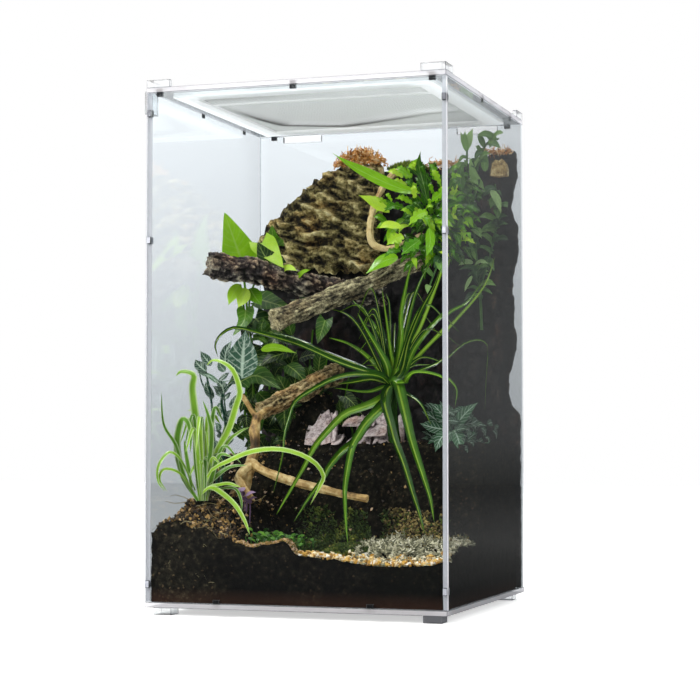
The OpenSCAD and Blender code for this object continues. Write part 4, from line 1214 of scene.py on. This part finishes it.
def leaf_skin(name, codes, marks, roughness=0.35, through=0.35, veins=0.0, spots=0.0):
    """A leaf that lets some light through. codes is its colour by tone, marks are stripes by their
    place across the blade (0 at the middle, 1 at the margin) as (from, to, colour, amount)."""
    material, tree, out = new_material(name)
    uv = add(tree, "UVMap", uv_map="along_across")
    part_uv = add(tree, "SeparateXYZ", {}, {0: uv.outputs[0]})
    centred = add(tree, "Math", {1: 0.5}, {0: part_uv.outputs["Y"]}, operation="SUBTRACT")
    across = add(tree, "Math", {}, {0: centred.outputs[0]}, operation="ABSOLUTE")
    across = add(tree, "Math", {1: 2.0}, {0: across.outputs[0]}, operation="MULTIPLY")
    tone = add(tree, "Attribute", attribute_name="tone")
    place = add(tree, "TexCoord").outputs["Object"]
    mottle = add(tree, "TexNoise", {"Scale": 120.0, "Detail": 3.0}, {"Vector": place})
    shift = add(tree, "MapRange", {"To Min": -0.12, "To Max": 0.12}, {"Value": mottle.outputs["Fac"]})
    total = add(tree, "Math", {}, {0: tone.outputs["Fac"], 1: shift.outputs[0]}, operation="ADD")
    colour = add(tree, "ValToRGB", {}, {0: total.outputs[0]}, stops=even(codes)).outputs[0]
    layers = [(code, add(tree, "MapRange", {"From Min": start, "From Max": stop, "To Max": amount},
                         {"Value": across.outputs[0]})) for start, stop, code, amount in marks]
    if veins:
        slant = add(tree, "Math", {1: -0.22}, {0: across.outputs[0]}, operation="MULTIPLY")
        run = add(tree, "Math", {}, {0: part_uv.outputs["X"], 1: slant.outputs[0]}, operation="ADD")
        beat = add(tree, "Math", {1: 44.0}, {0: run.outputs[0]}, operation="MULTIPLY")
        wave = add(tree, "Math", {}, {0: beat.outputs[0]}, operation="SINE")
        rib = add(tree, "MapRange", {"From Min": 0.72, "From Max": 1.0, "To Max": veins},
                  {"Value": wave.outputs[0]})
        layers.append((marks[0][2], rib))
    if spots:
        cells = add(tree, "TexNoise", {"Scale": 330.0, "Detail": 2.0}, {"Vector": place})
        patch = add(tree, "MapRange", {"From Min": 0.52, "From Max": 0.62, "To Max": spots},
                    {"Value": cells.outputs["Fac"]})
        layers.append((marks[0][2], patch))
    for code, mask in layers:
        mix = add(tree, "Mix", {7: linear(code)}, {0: mask.outputs[0], 6: colour}, data_type="RGBA")
        colour = mix.outputs[2]
    skin = add(tree, "BsdfPrincipled", {"Roughness": roughness}, {"Base Color": colour})
    glow = add(tree, "BsdfTranslucent", {}, {"Color": colour})
    both = add(tree, "MixShader", {0: through}, {1: skin.outputs[0], 2: glow.outputs[0]})
    tree.links.new(both.outputs[0], out.inputs[0])
    return material


left_blades = [
    (4, [(-94, -85, 90), (-102, -91, 108), (-106, -97, 131), (-114, -103, 148), (-113, -110, 173)]),
    (6.5, [(-92, -86, 88), (-103, -89, 106), (-107, -93, 130), (-104, -95, 147), (-100, -96, 152),
           (-96, -96, 148), (-93, -98, 137), (-93, -99, 126)]),
    (7.5, [(-90, -84, 92), (-91, -84, 126), (-95, -84, 153), (-98, -84, 176), (-97, -84, 187),
           (-107, -84, 190), (-112, -84, 187)]),
    (6, [(-86, -84, 96), (-78, -82, 126), (-68, -82, 143), (-62, -81, 162), (-59, -80, 174),
         (-65, -79, 190), (-74, -79, 197), (-83, -78, 199), (-88, -78, 195)]),
    (5, [(-85, -86, 100), (-80, -87, 137), (-82, -88, 153), (-87, -88, 167)]),
    (4, [(-91, -88, 98), (-92, -92, 126), (-92, -93, 138)]),
    (4, [(-96, -89, 98), (-99, -93, 124), (-100, -95, 136)]),
    (6.5, [(-86, -86, 100), (-77, -92, 112), (-61, -96, 119), (-46, -99, 125), (-31, -100, 128),
           (-16, -100, 128), (-1, -98, 124), (10, -95, 117), (15, -92, 108), (13, -91, 102), (10, -91, 96),
           (4, -90, 86)]),
    (5, [(-86, -86, 99), (-69, -82, 113), (-53, -80, 116)]),
    (6, [(-88, -88, 93), (-78, -91, 98), (-65, -95, 92), (-54, -100, 84), (-45, -104, 73),
         (-39, -108, 63)]),
    (6.5, [(-86, -86, 96), (-77, -88, 99), (-64, -92, 101), (-52, -95, 99)]),
    (3.5, [(-81, -84, 96), (-61, -88, 98), (-54, -90, 90), (-52, -92, 80)]),
    (3.5, [(-95, -88, 95), (-100, -102, 109), (-108, -107, 113), (-113, -109, 111), (-114, -110, 104),
           (-108, -110, 96)]),
    (3.5, [(-94, -87, 96), (-98, -103, 118), (-105, -108, 126), (-111, -110, 122), (-115, -112, 113),
           (-114, -113, 103), (-109, -112, 96)]),
    (3.5, [(-88, -82, 101), (-74, -72, 132), (-64, -68, 142), (-56, -66, 146)]),
    (4, [(-91, -80, 102), (-96, -76, 120), (-91, -72, 137), (-86, -70, 145)]),
    (4.5, [(-91, -78, 104), (-84, -72, 124), (-79, -69, 136), (-77, -66, 148)])]
chance = random.Random(31)
tuft = new_part("uvs", "tone")
for width, points in left_blades:
    leaf(tuft, points, width * 0.9, "blade", chance.uniform(0.2, 0.8), fold=0.4, wave=0.12,
         facing=(0.5, -0.75, 0.3 if points[-1][2] > 120 else 0.8))
crown_x, crown_y, crown_z = -88, -84, 88      # where the blades leave the mound
for _ in range(24):
    a, far = chance.uniform(0, round_way), chance.uniform(12, 32)
    tall = chance.uniform(16, 70)
    leaf(tuft, [(crown_x + 3 * math.cos(a), crown_y + 3 * math.sin(a), crown_z),
                (crown_x + 0.5 * far * math.cos(a), crown_y + 0.5 * far * math.sin(a), crown_z + 4 + tall),
                (crown_x + far * math.cos(a), crown_y + far * math.sin(a),
                 crown_z + 6 + tall * chance.uniform(0.5, 1.1))],
         chance.uniform(2.6, 4.6), "blade", chance.uniform(0.1, 0.7), fold=0.4, wave=0.1)
# young spider-plant leaf: soft green with cream margins
cream_grass = leaf_skin("cream_edged_leaf", ["#3f7212", "#6da326", "#a6d034", "#c8e23c"],
                        [(0.5, 0.85, "#eef4cb", 0.6)])
piece("striped_grass_left", tuft, cream_grass, "light_leaf", "grass_plant_left", smooth=60)


# ---------------------------------------------------------------- arching striped plant
# A larger plant of the same kind on the bank: long dark blades with a pale stripe, arching to the
# front and up to the bark.
arching_blades = [
    (6, [(42, -8, 181), (38, -9, 187), (24, -12, 191), (1, -17, 199), (-18, -22, 208), (-35, -26, 215),
         (-59, -32, 222), (-80, -37, 227), (-91, -40, 222), (-96, -42, 213), (-92, -45, 203)]),
    (4, [(39, -2, 184), (14, 1, 196), (-17, 4, 208), (-45, 7, 220), (-76, 10, 227)]),
    (5, [(42, -10, 181), (38, -15, 186), (31, -22, 188), (18, -32, 188), (5, -42, 184), (-11, -53, 174),
         (-20, -60, 166), (-23, -65, 155), (-25, -71, 140), (-24, -76, 127), (-26, -80, 111),
         (-29, -84, 95)]),
    (8, [(42, -10, 178), (40, -15, 171), (35, -21, 166), (27, -28, 162), (14, -39, 156), (4, -50, 143),
         (-4, -60, 130), (-9, -69, 115), (-17, -81, 95), (-24, -90, 78)]),
    (8.5, [(42, -8, 176), (40, -17, 166), (35, -28, 156), (30, -39, 145), (26, -48, 135), (18, -59, 126),
           (11, -69, 114), (9, -75, 106), (1, -86, 91), (-7, -97, 73)]),
    (8.5, [(43, -10, 176), (43, -18, 167), (40, -24, 161), (32, -36, 150), (28, -45, 140), (25, -52, 131),
           (25, -62, 117), (26, -73, 100), (28, -79, 88), (32, -88, 72), (36, -95, 57)]),
    (9.5, [(44, -12, 179), (42, -15, 175), (42, -21, 165), (49, -30, 150), (57, -41, 134), (68, -53, 116),
           (79, -67, 95), (88, -78, 79), (95, -88, 65)]),
    (10.5, [(44, -10, 181), (49, -12, 182), (55, -19, 169), (62, -28, 152), (69, -38, 136), (77, -47, 120),
            (85, -56, 105), (93, -66, 90), (99, -76, 74)]),
    (5, [(45, -10, 181), (57, -16, 182), (60, -19, 185), (67, -23, 189), (78, -28, 189), (91, -33, 186),
         (99, -37, 181), (104, -40, 174), (104, -45, 162)]),
    (7.5, [(41, -6, 183), (39, -6, 196), (31, -5, 210), (22, -4, 224), (14, -4, 239)]),
    (4.5, [(40, -2, 183), (42, 0, 198), (40, 1, 208), (36, 4, 232), (31, 8, 259)]),
    (6.5, [(43, -6, 183), (47, -5, 193), (50, -2, 217), (49, 1, 238), (53, 4, 263), (57, 6, 281)]),
    (5, [(41, -2, 183), (48, 0, 194), (52, 5, 224), (57, 9, 249), (63, 11, 266), (71, 14, 281)]),
    (6, [(43, -8, 182), (53, -9, 192), (59, -11, 214), (70, -13, 239), (81, -15, 257), (88, -16, 273)]),
    (5.5, [(43, -8, 181), (54, -7, 190), (64, -5, 212), (85, -3, 236), (102, -2, 246), (114, 0, 262)]),
    (2.6, [(43, -6, 180), (54, -6, 187), (76, -5, 195), (85, -4, 200), (98, -1, 212), (110, 2, 216),
           (117, 4, 212), (117, 6, 203), (114, 12, 183), (111, 20, 160)]),
    (8, [(38, 2, 181), (22, 7, 185), (3, 13, 183), (-11, 18, 182)]),
    (4.5, [(37, 4, 180), (16, 12, 175), (-16, 24, 179)]),
    (6, [(35, 10, 183), (16, 21, 202), (-5, 32, 215), (-26, 40, 222)]),
    (6, [(36, 12, 183), (30, 22, 210), (14, 31, 234), (-6, 40, 254)]),
    (5, [(40, 6, 183), (52, 15, 196), (66, 26, 214), (78, 34, 226)]),
    (5, [(42, -4, 181), (54, -8, 174), (69, -12, 165), (80, -18, 148)])]
chance = random.Random(32)
arch = new_part("uvs", "tone")
for width, points in arching_blades:
    leaf(arch, points, width * 1.05, "arch", chance.uniform(0.2, 0.8), fold=0.6, wave=0.06,
         facing=(0.6, -0.7, 0.35))
for width, points in [(3.4, [(46, -6, 184), (52, 0, 204), (63, 10, 228), (76, 40, 285), (84, 62, 322),
                      (88, 70, 343)]),
                      (3.0, [(44, -4, 184), (58, 6, 200), (84, 24, 232), (104, 44, 262), (112, 52, 288)])]:
    leaf(arch, points, width, "blade", 0.95, fold=0.5, facing=(0.6, -0.7, 0.35))
crown_x, crown_z = 42, 184      # the top of its short trunk
for _ in range(22):
    a, far = chance.uniform(-3.3, 0.6), chance.uniform(30, 66)
    tall = chance.uniform(10, 75)
    leaf(arch, [(crown_x, -4, crown_z - 8),
                (crown_x + 0.5 * far * math.cos(a), 2 - 0.25 * far * math.sin(a), crown_z + tall),
                (crown_x + far * math.cos(a), 6 - 0.3 * far * math.sin(a),
                 crown_z + tall * chance.uniform(0.6, 1.3))],
         chance.uniform(2.2, 4.4), "arch", chance.uniform(0.0, 0.3), fold=0.5)
for x, y in ((42, -6), (40, -2), (44, -3)):
    stalk(arch, [(x, y + 12, 128), (x, y + 4, 150), (x, y, 183)], 3.4, 0.2, 0.8)
# older striped leaf: glossy dark green, a pale stripe along its middle
dark_grass = leaf_skin("pale_striped_dark_leaf", ["#142e08", "#2c560e", "#55891a", "#8fb82c"],
                       [(0.26, 0.06, "#b4d443", 0.65), (0.55, 0.8, "#173510", 0.55)], roughness=0.2)
piece("arching_plant", arch, dark_grass, "dark_leaf", "grass_plant_centre", smooth=60)


# ---------------------------------------------------------------- arrowhead vine
# A vine with broad arrow-shaped leaves climbs behind the left branch, its upper leaves lit from
# behind and bright green, with a mass of darker leaves below.
vine_leaves = [
    ("heart", 35, 0.3, [(-100, 24, 290), (-104, 19, 305), (-110, 12, 328)]),
    ("heart", 25, 0.38, [(-80, 22, 302), (-70, 18, 292), (-57, 12, 280)]),
    ("heart", 24, 0.02, [(-66, 16, 282), (-74, 14, 290), (-80, 12, 302)]),
    ("heart", 17, 0.15, [(-72, 34, 301), (-74, 32, 307), (-74, 30, 318)]),
    ("oval", 8, 0.5, [(-64, 20, 277), (-55, 17, 280), (-45, 14, 277)]),
    ("oval", 6, 0.3, [(-50, 24, 272), (-43, 21, 276), (-35, 18, 278)]),
    ("oval", 11, 0.35, [(-92, 2, 266), (-96, -2, 258), (-99, -6, 248)]),
    ("oval", 12, 0.45, [(-88, 4, 263), (-89, 1, 254), (-92, -2, 246)]),
    ("oval", 13, 0.2, [(-86, 10, 263), (-80, 7, 255), (-73, 4, 248)]),
    ("heart", 16, 0.15, [(-89, 8, 245), (-90, 6, 235), (-98, 2, 223)]),
    ("heart", 15, 0.1, [(-31, 44, 237), (-33, 40, 227), (-35, 36, 217)]),
    ("heart", 22, 0.1, [(-86, 36, 255), (-72, 33, 251), (-56, 30, 246)]),
    ("heart", 24, 0.05, [(-89, 30, 239), (-76, 25, 229), (-60, 20, 221)]),
    ("oval", 9, 0.3, [(-79, 18, 212), (-65, 15, 213), (-44, 10, 208)]),
    ("oval", 22, 0.1, [(-93, 4, 184), (-76, 1, 189), (-53, -4, 178)]),
    ("heart", 20, 0.0, [(-91, 26, 210), (-79, 24, 203), (-66, 22, 200)]),
    ("oval", 14, 0.1, [(-85, 26, 176), (-76, 24, 168), (-69, 22, 158)]),
    ("heart", 18, 0.0, [(-73, 46, 230), (-64, 45, 221), (-49, 44, 216)]),
    ("heart", 16, 0.0, [(-57, 52, 256), (-46, 51, 250), (-29, 50, 251)])]
vine_stems = [
    (1.3, [(-100, 30, 136), (-97, 29, 170), (-95, 27, 204), (-94, 26, 231), (-96, 25, 261),
           (-99, 24, 287)]),
    (1.1, [(-95, 32, 136), (-90, 30, 170), (-91, 27, 212), (-92, 24, 254), (-80, 22, 281)]),
    (0.9, [(-96, 26, 229), (-93, 12, 254), (-92, 4, 266)])]
chance = random.Random(33)
vine = new_part("uvs", "tone")
for shape, width, tone, points in vine_leaves:
    leaf(vine, points, width, shape, min(1, tone * 2.2 + 0.06), fold=0.12, wave=0.08)
for radius, points in vine_stems:
    stalk(vine, points, radius)
main_stems = [points for radius, points in vine_stems]
for x, y, top in ((-86, 60, 232), (-68, 52, 236), (-50, 62, 230), (-33, 50, 206), (-16, 58, 190),
(-2, 52, 168)):
    main_stems.append([(x, y + 8, 106), (x + 5, y, 140), (x - 3, y + 3, 0.5 * (140 + top)),
                       (x + 3, y - 4, top)])
    stalk(vine, main_stems[-1], 1.0)
nodes = [p for points in main_stems for p in smooth_line(points, 30)]
for count, box, slope, sizes, tones in ((62, ((-96, -34), (10, 62), (112, 250)), (166, 1.0), (11, 24), 0.3),
                                        (96, ((-112, 0), (18, 60), (112, 235)), (176, 0.6), (12, 27), 0.2)):
    for _ in range(count):
        x, y, z = [chance.uniform(*side) for side in box]
        if z > slope[0] - slope[1] * x or x < -100 and z > 150 or x < -92 and z > 190:
            continue
        a, size = chance.uniform(0, round_way), chance.uniform(*sizes)
        base = Vector((x, y, z))
        end = base + Vector((size * math.cos(a), -size * 0.28, size * math.sin(a)))
        small_leaf(vine, base, end, (0, -2, 2), size * 0.58, chance.choice(("heart", "oval", "lance")),
                   chance.uniform(0.0, tones), fold=0.15, wave=0.1)
        near = min(nodes, key=lambda p: (p - base + Vector((0, 0, 12))).length)
        stalk(vine, [near, (near + base) / 2 + Vector((0, 0, 2)), base], 0.6, 0.2)
# arrowhead leaf: light green with pale veins, bright with the light behind it
arrow_leaf = leaf_skin("arrowhead_leaf", ["#13290a", "#2f5a0e", "#66a20a", "#9fd01c", "#cdea50"],
                       [(0.1, 0.03, "#b9d66a", 0.5)], veins=0.22, through=0.45)
piece("arrowhead_vine_leaves", vine, arrow_leaf, "bright_leaf", "arrowhead_vine", smooth=60)


# ---------------------------------------------------------------- silver-leaved plant
# Blue-green oval leaves with silver patches between the veins, on two thin stems behind the grass.
silver_leaves = [
    ("oval", 25, 0.6, [(-79, -26, 186), (-79, -23, 205), (-78, -20, 226)]),
    ("oval", 9, 0.2, [(-95, -22, 197), (-95, -21, 208), (-90, -20, 218)]),
    ("oval", 8, 0.3, [(-105, -28, 197), (-110, -29, 203), (-114, -30, 209)]),
    ("oval", 9, 0.2, [(-108, -32, 192), (-114, -33, 197), (-117, -34, 202)]),
    ("oval", 9, 0.2, [(-93, -30, 174), (-94, -32, 180), (-99, -34, 185)]),
    ("oval", 7, 0.9, [(-92, -30, 192), (-95, -32, 196), (-96, -34, 201)]),
    ("oval", 4.5, 1.0, [(-116, -32, 192), (-105, -31, 188), (-97, -31, 183), (-86, -30, 185)]),
    ("oval", 7, 0.3, [(-104, -26, 170), (-108, -28, 177), (-109, -30, 184)]),
    ("oval", 8, 0.4, [(-91, -22, 162), (-84, -23, 169), (-78, -24, 174)])]
silver_stems = [
    (1.2, [(-102, -20, 86), (-103, -23, 119), (-104, -26, 146), (-105, -28, 169), (-109, -30, 192)]),
    (1.4, [(-101, -20, 86), (-94, -23, 144), (-97, -25, 169), (-88, -26, 182), (-79, -26, 186)]),
    (0.9, [(-95, -22, 144), (-92, -24, 152), (-93, -27, 162), (-93, -30, 174)]),
    (0.8, [(-106, -26, 169), (-112, -30, 182), (-114, -32, 192)])]
chance = random.Random(34)
silver = new_part("uvs", "tone")
for shape, width, tone, points in silver_leaves:
    leaf(silver, points, width, shape, tone, fold=0.15, wave=0.05)
for radius, points in silver_stems:
    stalk(silver, points, radius, 0.3)
for _ in range(16):
    z = chance.uniform(112, 188)
    x, y, a = -99 + chance.uniform(-5, 5), -23 + chance.uniform(-4, 4), chance.uniform(0, round_way)
    size = chance.uniform(8, 15)
    end = (x + size * math.cos(a), y - 3 + size * 0.4 * math.sin(a), z + size * 0.6)
    small_leaf(silver, (x, y, z), end, (1, 1, 1), size * 0.42, "oval", chance.uniform(0, 0.8), fold=0.15)
# silver-patched leaf: blue-green with pale patches and veins
silver_leaf = leaf_skin("silver_patched_leaf", ["#16362a", "#2b5540", "#54795c"],
                        [(0.16, 0.05, "#cfe0cc", 0.8)], veins=0.65, spots=0.35)
piece("silver_leaves", silver, silver_leaf, "silver_leaf", "silver_plant", smooth=60)


# ---------------------------------------------------------------- glossy leafy fern
# Fresh green lobed leaves grow from the root loop in a dense bunch, with one long leaf that points
# to the upper left.
fern_leaves = [
    ("lance", 12, 0.62, [(57, 30, 340), (41, 25, 344), (21, 18, 353), (3, 12, 363), (-11, 6, 373)]),
    ("lance", 7.5, 0.1, [(64, 30, 330), (61, 27, 347), (58, 24, 362), (60, 22, 374)]),
    ("lance", 10.5, 0.95, [(33, 22, 324), (21, 16, 332), (10, 10, 338)]),
    ("oval", 8, 1.0, [(44, 20, 311), (34, 16, 313), (27, 12, 310)]),
    ("lobed", 12, 0.85, [(45, 22, 304), (39, 18, 301), (33, 14, 296)]),
    ("lobed", 11, 0.7, [(66, 22, 323), (59, 18, 320), (52, 12, 311)]),
    ("lobed", 13, 0.35, [(60, 20, 300), (53, 16, 294), (46, 12, 287)]),
    ("lobed", 11, 0.55, [(69, 24, 333), (77, 20, 337), (83, 16, 343)]),
    ("lobed", 9, 0.25, [(44, 26, 328), (37, 21, 329), (30, 16, 324)]),
    ("oval", 13, 0.6, [(38, 30, 287), (26, 28, 284), (11, 26, 274)]),
    ("lance", 8, 0.5, [(69, 16, 309), (71, 12, 297), (69, 8, 284)]),
    ("lobed", 10, 0.3, [(74, 30, 329), (85, 27, 331), (94, 24, 336)]),
    ("lobed", 9, 0.6, [(49, 34, 354), (43, 31, 358), (36, 28, 360)]),
    ("lobed", 8, 0.4, [(69, 34, 351), (68, 32, 359), (64, 30, 366)]),
    ("oval", 7, 0.7, [(43, 40, 361), (49, 38, 365), (53, 36, 370)])]
chance = random.Random(35)
fern = new_part("uvs", "tone")
for shape, width, tone, points in fern_leaves:
    leaf(fern, points, width, shape, tone, fold=0.2, wave=0.1)
bunch_x, bunch_z = 62, 322      # the middle of the bunch
for _ in range(230):
    a, b = chance.uniform(0, round_way), chance.uniform(0, 1)
    x, z = bunch_x + 38 * b * math.cos(a), bunch_z + 42 * b * math.sin(a)
    y, size = chance.uniform(20, 62), chance.uniform(6, 15)
    heading = a + chance.uniform(-0.9, 0.9)
    end = (x + size * math.cos(heading), y - size * 0.4, z + size * math.sin(heading) - 2)
    # leaves deeper in the bunch get darker tones: painted shade
    small_leaf(fern, (x, y, z), end, (0, -3, 2), size * 0.5, chance.choice(("lobed", "lobed", "lance")),
               chance.uniform(0.1, 1.0) * (1 if y < 40 else 0.3), fold=0.3, wave=0.1)
for k in range(9):
    a = k * 0.7
    stalk(fern, [(bunch_x, 90, bunch_z - 4), (bunch_x + 10 * math.cos(a), 62, bunch_z - 2 + 10 * math.sin(a)),
                 (bunch_x + 24 * math.cos(a), 34, bunch_z + 24 * math.sin(a))], 1.0)
# glossy leaf: fresh yellow-green, shiny
fern_leaf = leaf_skin("glossy_fern_leaf", ["#1e4906", "#529809", "#98d214", "#d6f24c"],
                      [(0.1, 0.02, "#b7e26a", 0.5)], roughness=0.2, veins=0.15, through=0.4)
piece("fern_leaves", fern, fern_leaf, "bright_leaf", "leafy_fern", smooth=60)


# ---------------------------------------------------------------- seedlings
# Self-sown seedlings with small round green leaves on the moss, and one with purple leaves at the
# driftwood's foot.
chance = random.Random(38)
for name, count, box, codes, slot, size in (
        ("green_seedlings", 90, ((-44, -2),
        (-110, -60)), ["#1a420c", "#3d7518", "#72a834"], "bright_leaf", 1.0),
        ("purple_seedling", 7, ((-55, -49),
        (-86, -82)), ["#5a3a58", "#8a6a90", "#b79abd"], "dark_leaf", 1.9),
        ("red_leaf_litter", 9, ((112, 116),
        (-16, 4)), ["#3f181c", "#5f252c", "#7c3840"], "dark_leaf", 1.0)):
    part = new_part("uvs", "tone")
    for _ in range(count):
        x, y = chance.uniform(*box[0]), chance.uniform(*box[1])
        z, a = ground(x, y), chance.uniform(0, round_way)
        if slot == "dark_leaf":
            z = 76 if x > 0 else z + 9
        top = Vector((x, y, z + chance.uniform(2, 8)))
        tip = top + 4.5 * size * Vector((math.cos(a), math.sin(a), 0.35))
        foot = (x, y, z - 10 * (size > 1) - 1)
        stalk(part, [foot, (top + Vector((x, y, z))) / 2 + Vector((0.6, 0, 0)), top], 0.45)
        small_leaf(part, top, tip, (0, 0, 0.8), 3.0 * size, "oval", chance.random(), fold=0.15,
                   facing=(0.1, -0.5, 1.0), thick=0.3)
    piece(name, part, leaf_skin(name + "_leaf", codes, [(0.1, 0.02, codes[-1], 0.3)]), slot, smooth=60)


# ---------------------------------------------------------------- climber
# Thin stems with small dark leaves climb the bark in the right rear corner up to the lid.
climber_leaves = [
    ("oval", 6, 0.5, [(86, 58, 379), (83, 54, 390), (81, 50, 399)]),
    ("oval", 8, 0.8, [(86, 58, 379), (90, 56, 392), (95, 54, 403)]),
    ("oval", 7, 0.4, [(87, 56, 377), (86, 53, 385), (87, 50, 394)]),
    ("heart", 13, 0.5, [(95, 60, 348), (92, 56, 358), (91, 50, 371)]),
    ("oval", 8, 0.3, [(100, 66, 361), (100, 64, 370), (102, 62, 380)]),
    ("oval", 10, 0.2, [(84, 50, 344), (84, 45, 355), (88, 40, 366)]),
    ("oval", 8, 0.7, [(103, 74, 346), (109, 71, 337), (113, 68, 325)]),
    ("oval", 7, 1.0, [(91, 60, 284), (86, 55, 284), (81, 50, 281)]),
    ("oval", 7, 1.0, [(93, 60, 283), (99, 56, 284), (106, 52, 282)]),
    ("oval", 4, 0.9, [(90, 60, 273), (87, 57, 266), (85, 54, 259)])]
climber_stems = [
    (1.5, [(92, 84, 229), (92, 78, 262), (90, 72, 296), (88, 65, 329), (86, 61, 354), (87, 56, 378)]),
    (1.4, [(92, 60, 337), (94, 63, 364), (99, 64, 379), (104, 65, 386), (112, 66, 388)]),
    (1.2, [(89, 58, 336), (84, 50, 315), (78, 43, 294), (71, 37, 282), (64, 28, 258)]),
    (1.2, [(90, 84, 263), (101, 82, 296), (107, 81, 330), (105, 80, 352)])]
chance = random.Random(36)
climb = new_part("uvs", "tone")
for shape, width, tone, points in climber_leaves:
    if points[-1][2] > 396:
        points = [Vector(points[0]).lerp(Vector(point), 0.72) for point in points]
    leaf(climb, points, width * 0.85, shape, min(1, tone + 0.3), fold=0.25, wave=0.06)
for radius, points in climber_stems:
    stalk(climb, points, radius * 0.8)
for _ in range(110):
    radius, points = climber_stems[chance.choice((0, 0, 0, 1, 2, 3))]
    line = smooth_line(points, 40)
    p = line[chance.randrange(6, 39)]
    a, size = chance.uniform(0, round_way), chance.uniform(7, 17)
    end = p + Vector((size * math.cos(a), -size * 0.5, size * 0.7 * math.sin(a)))
    small_leaf(climb, p, end, (0, -2, 2), size * 0.5, chance.choice(("oval", "oval", "heart")),
               chance.uniform(0, 0.8), fold=0.25, wave=0.06)
# small climber leaf: soft grey-green
climber_leaf = leaf_skin("climber_leaf", ["#1d3d1e", "#416f35", "#7fae4e", "#b3d38a"],
                         [(0.08, 0.02, "#b5cf9b", 0.5)], veins=0.15)
piece("climber_leaves", climb, climber_leaf, "dark_leaf", "climber", smooth=60)


# ---------------------------------------------------------------- veined plant
# A low plant with deep green leaves and white veins, on the bank at the right wall.
veined_leaves = [
    ("oval", 9, 0.8, [(88, 10, 146), (98, 8, 157), (109, 6, 166)]),
    ("oval", 10, 1.0, [(89, 6, 144), (94, 1, 136), (97, -4, 126)]),
    ("oval", 8, 0.4, [(88, 14, 146), (102, 13, 149), (115, 12, 147)]),
    ("oval", 8, 0.4, [(88, 14, 144), (100, 13, 137), (110, 12, 131)]),
    ("oval", 10, 0.6, [(84, 12, 146), (80, 9, 158), (72, 6, 166)]),
    ("oval", 10, 0.5, [(85, 8, 144), (74, 5, 146), (65, 2, 149)]),
    ("oval", 10, 0.5, [(85, 8, 142), (78, 4, 134), (69, 0, 128)]),
    ("oval", 9, 0.4, [(83, 20, 146), (82, 19, 157), (77, 18, 168)]),
    ("oval", 9, 0.4, [(84, 18, 144), (72, 16, 154), (63, 14, 159)]),
    ("oval", 9, 0.7, [(88, 2, 142), (83, -2, 136), (80, -6, 126)]),
    ("oval", 7, 0.3, [(85, 24, 146), (90, 26, 152), (98, 28, 159)]),
    ("lobed", 7, 1.0, [(107, 20, 118), (110, 18, 128), (117, 16, 136)]),
    ("lobed", 6, 0.5, [(106, 16, 112), (103, 14, 107), (102, 12, 100)])]
chance = random.Random(37)
net_leaves = new_part("uvs", "tone")
for shape, width, tone, points in veined_leaves:
    leaf(net_leaves, points, width * 1.15, shape, tone, fold=0.2, wave=0.06)
for _ in range(34):
    x, y, z = chance.uniform(64, 106), chance.uniform(6, 34), chance.uniform(134, 160)
    a, size = chance.uniform(-0.6, 3.8), chance.uniform(8, 15)
    end = (x + size * math.cos(a), y - size * 0.4, z + size * math.sin(a) * 0.8)
    small_leaf(net_leaves, (x, y, z), end, (1, 1, 1), size * 0.55, "oval", chance.uniform(0.0, 0.5), fold=0.2)
for _ in range(40):
    x, y, z = chance.uniform(100, 114), chance.uniform(-20, 70), chance.uniform(118, 150)
    size = chance.uniform(6, 13)
    end = (x + 2, y + size * chance.uniform(-0.9, 0.9), z + size * chance.uniform(-0.8, 0.3))
    small_leaf(net_leaves, (x, y, z), end, (1, 1, 1), size * 0.5, "oval", chance.uniform(0.0, 0.4), fold=0.2,
               facing=(0.8, -0.4, 0.4))
for _ in range(14):
    x, y = chance.uniform(70, 104), chance.uniform(4, 26)
    stalk(net_leaves, [(86, 14, 130), ((x + 86) / 2, y, 140), (x, y, 148)], 0.8)
# veined leaf: deep green with white veins
veined_leaf = leaf_skin("white_veined_leaf", ["#0f2d17", "#1f4a2a", "#3a6b42"],
                        [(0.14, 0.04, "#bcd2bd", 0.75)], veins=0.55)
piece("veined_leaves", net_leaves, veined_leaf, "silver_leaf", "veined_plant", smooth=60)
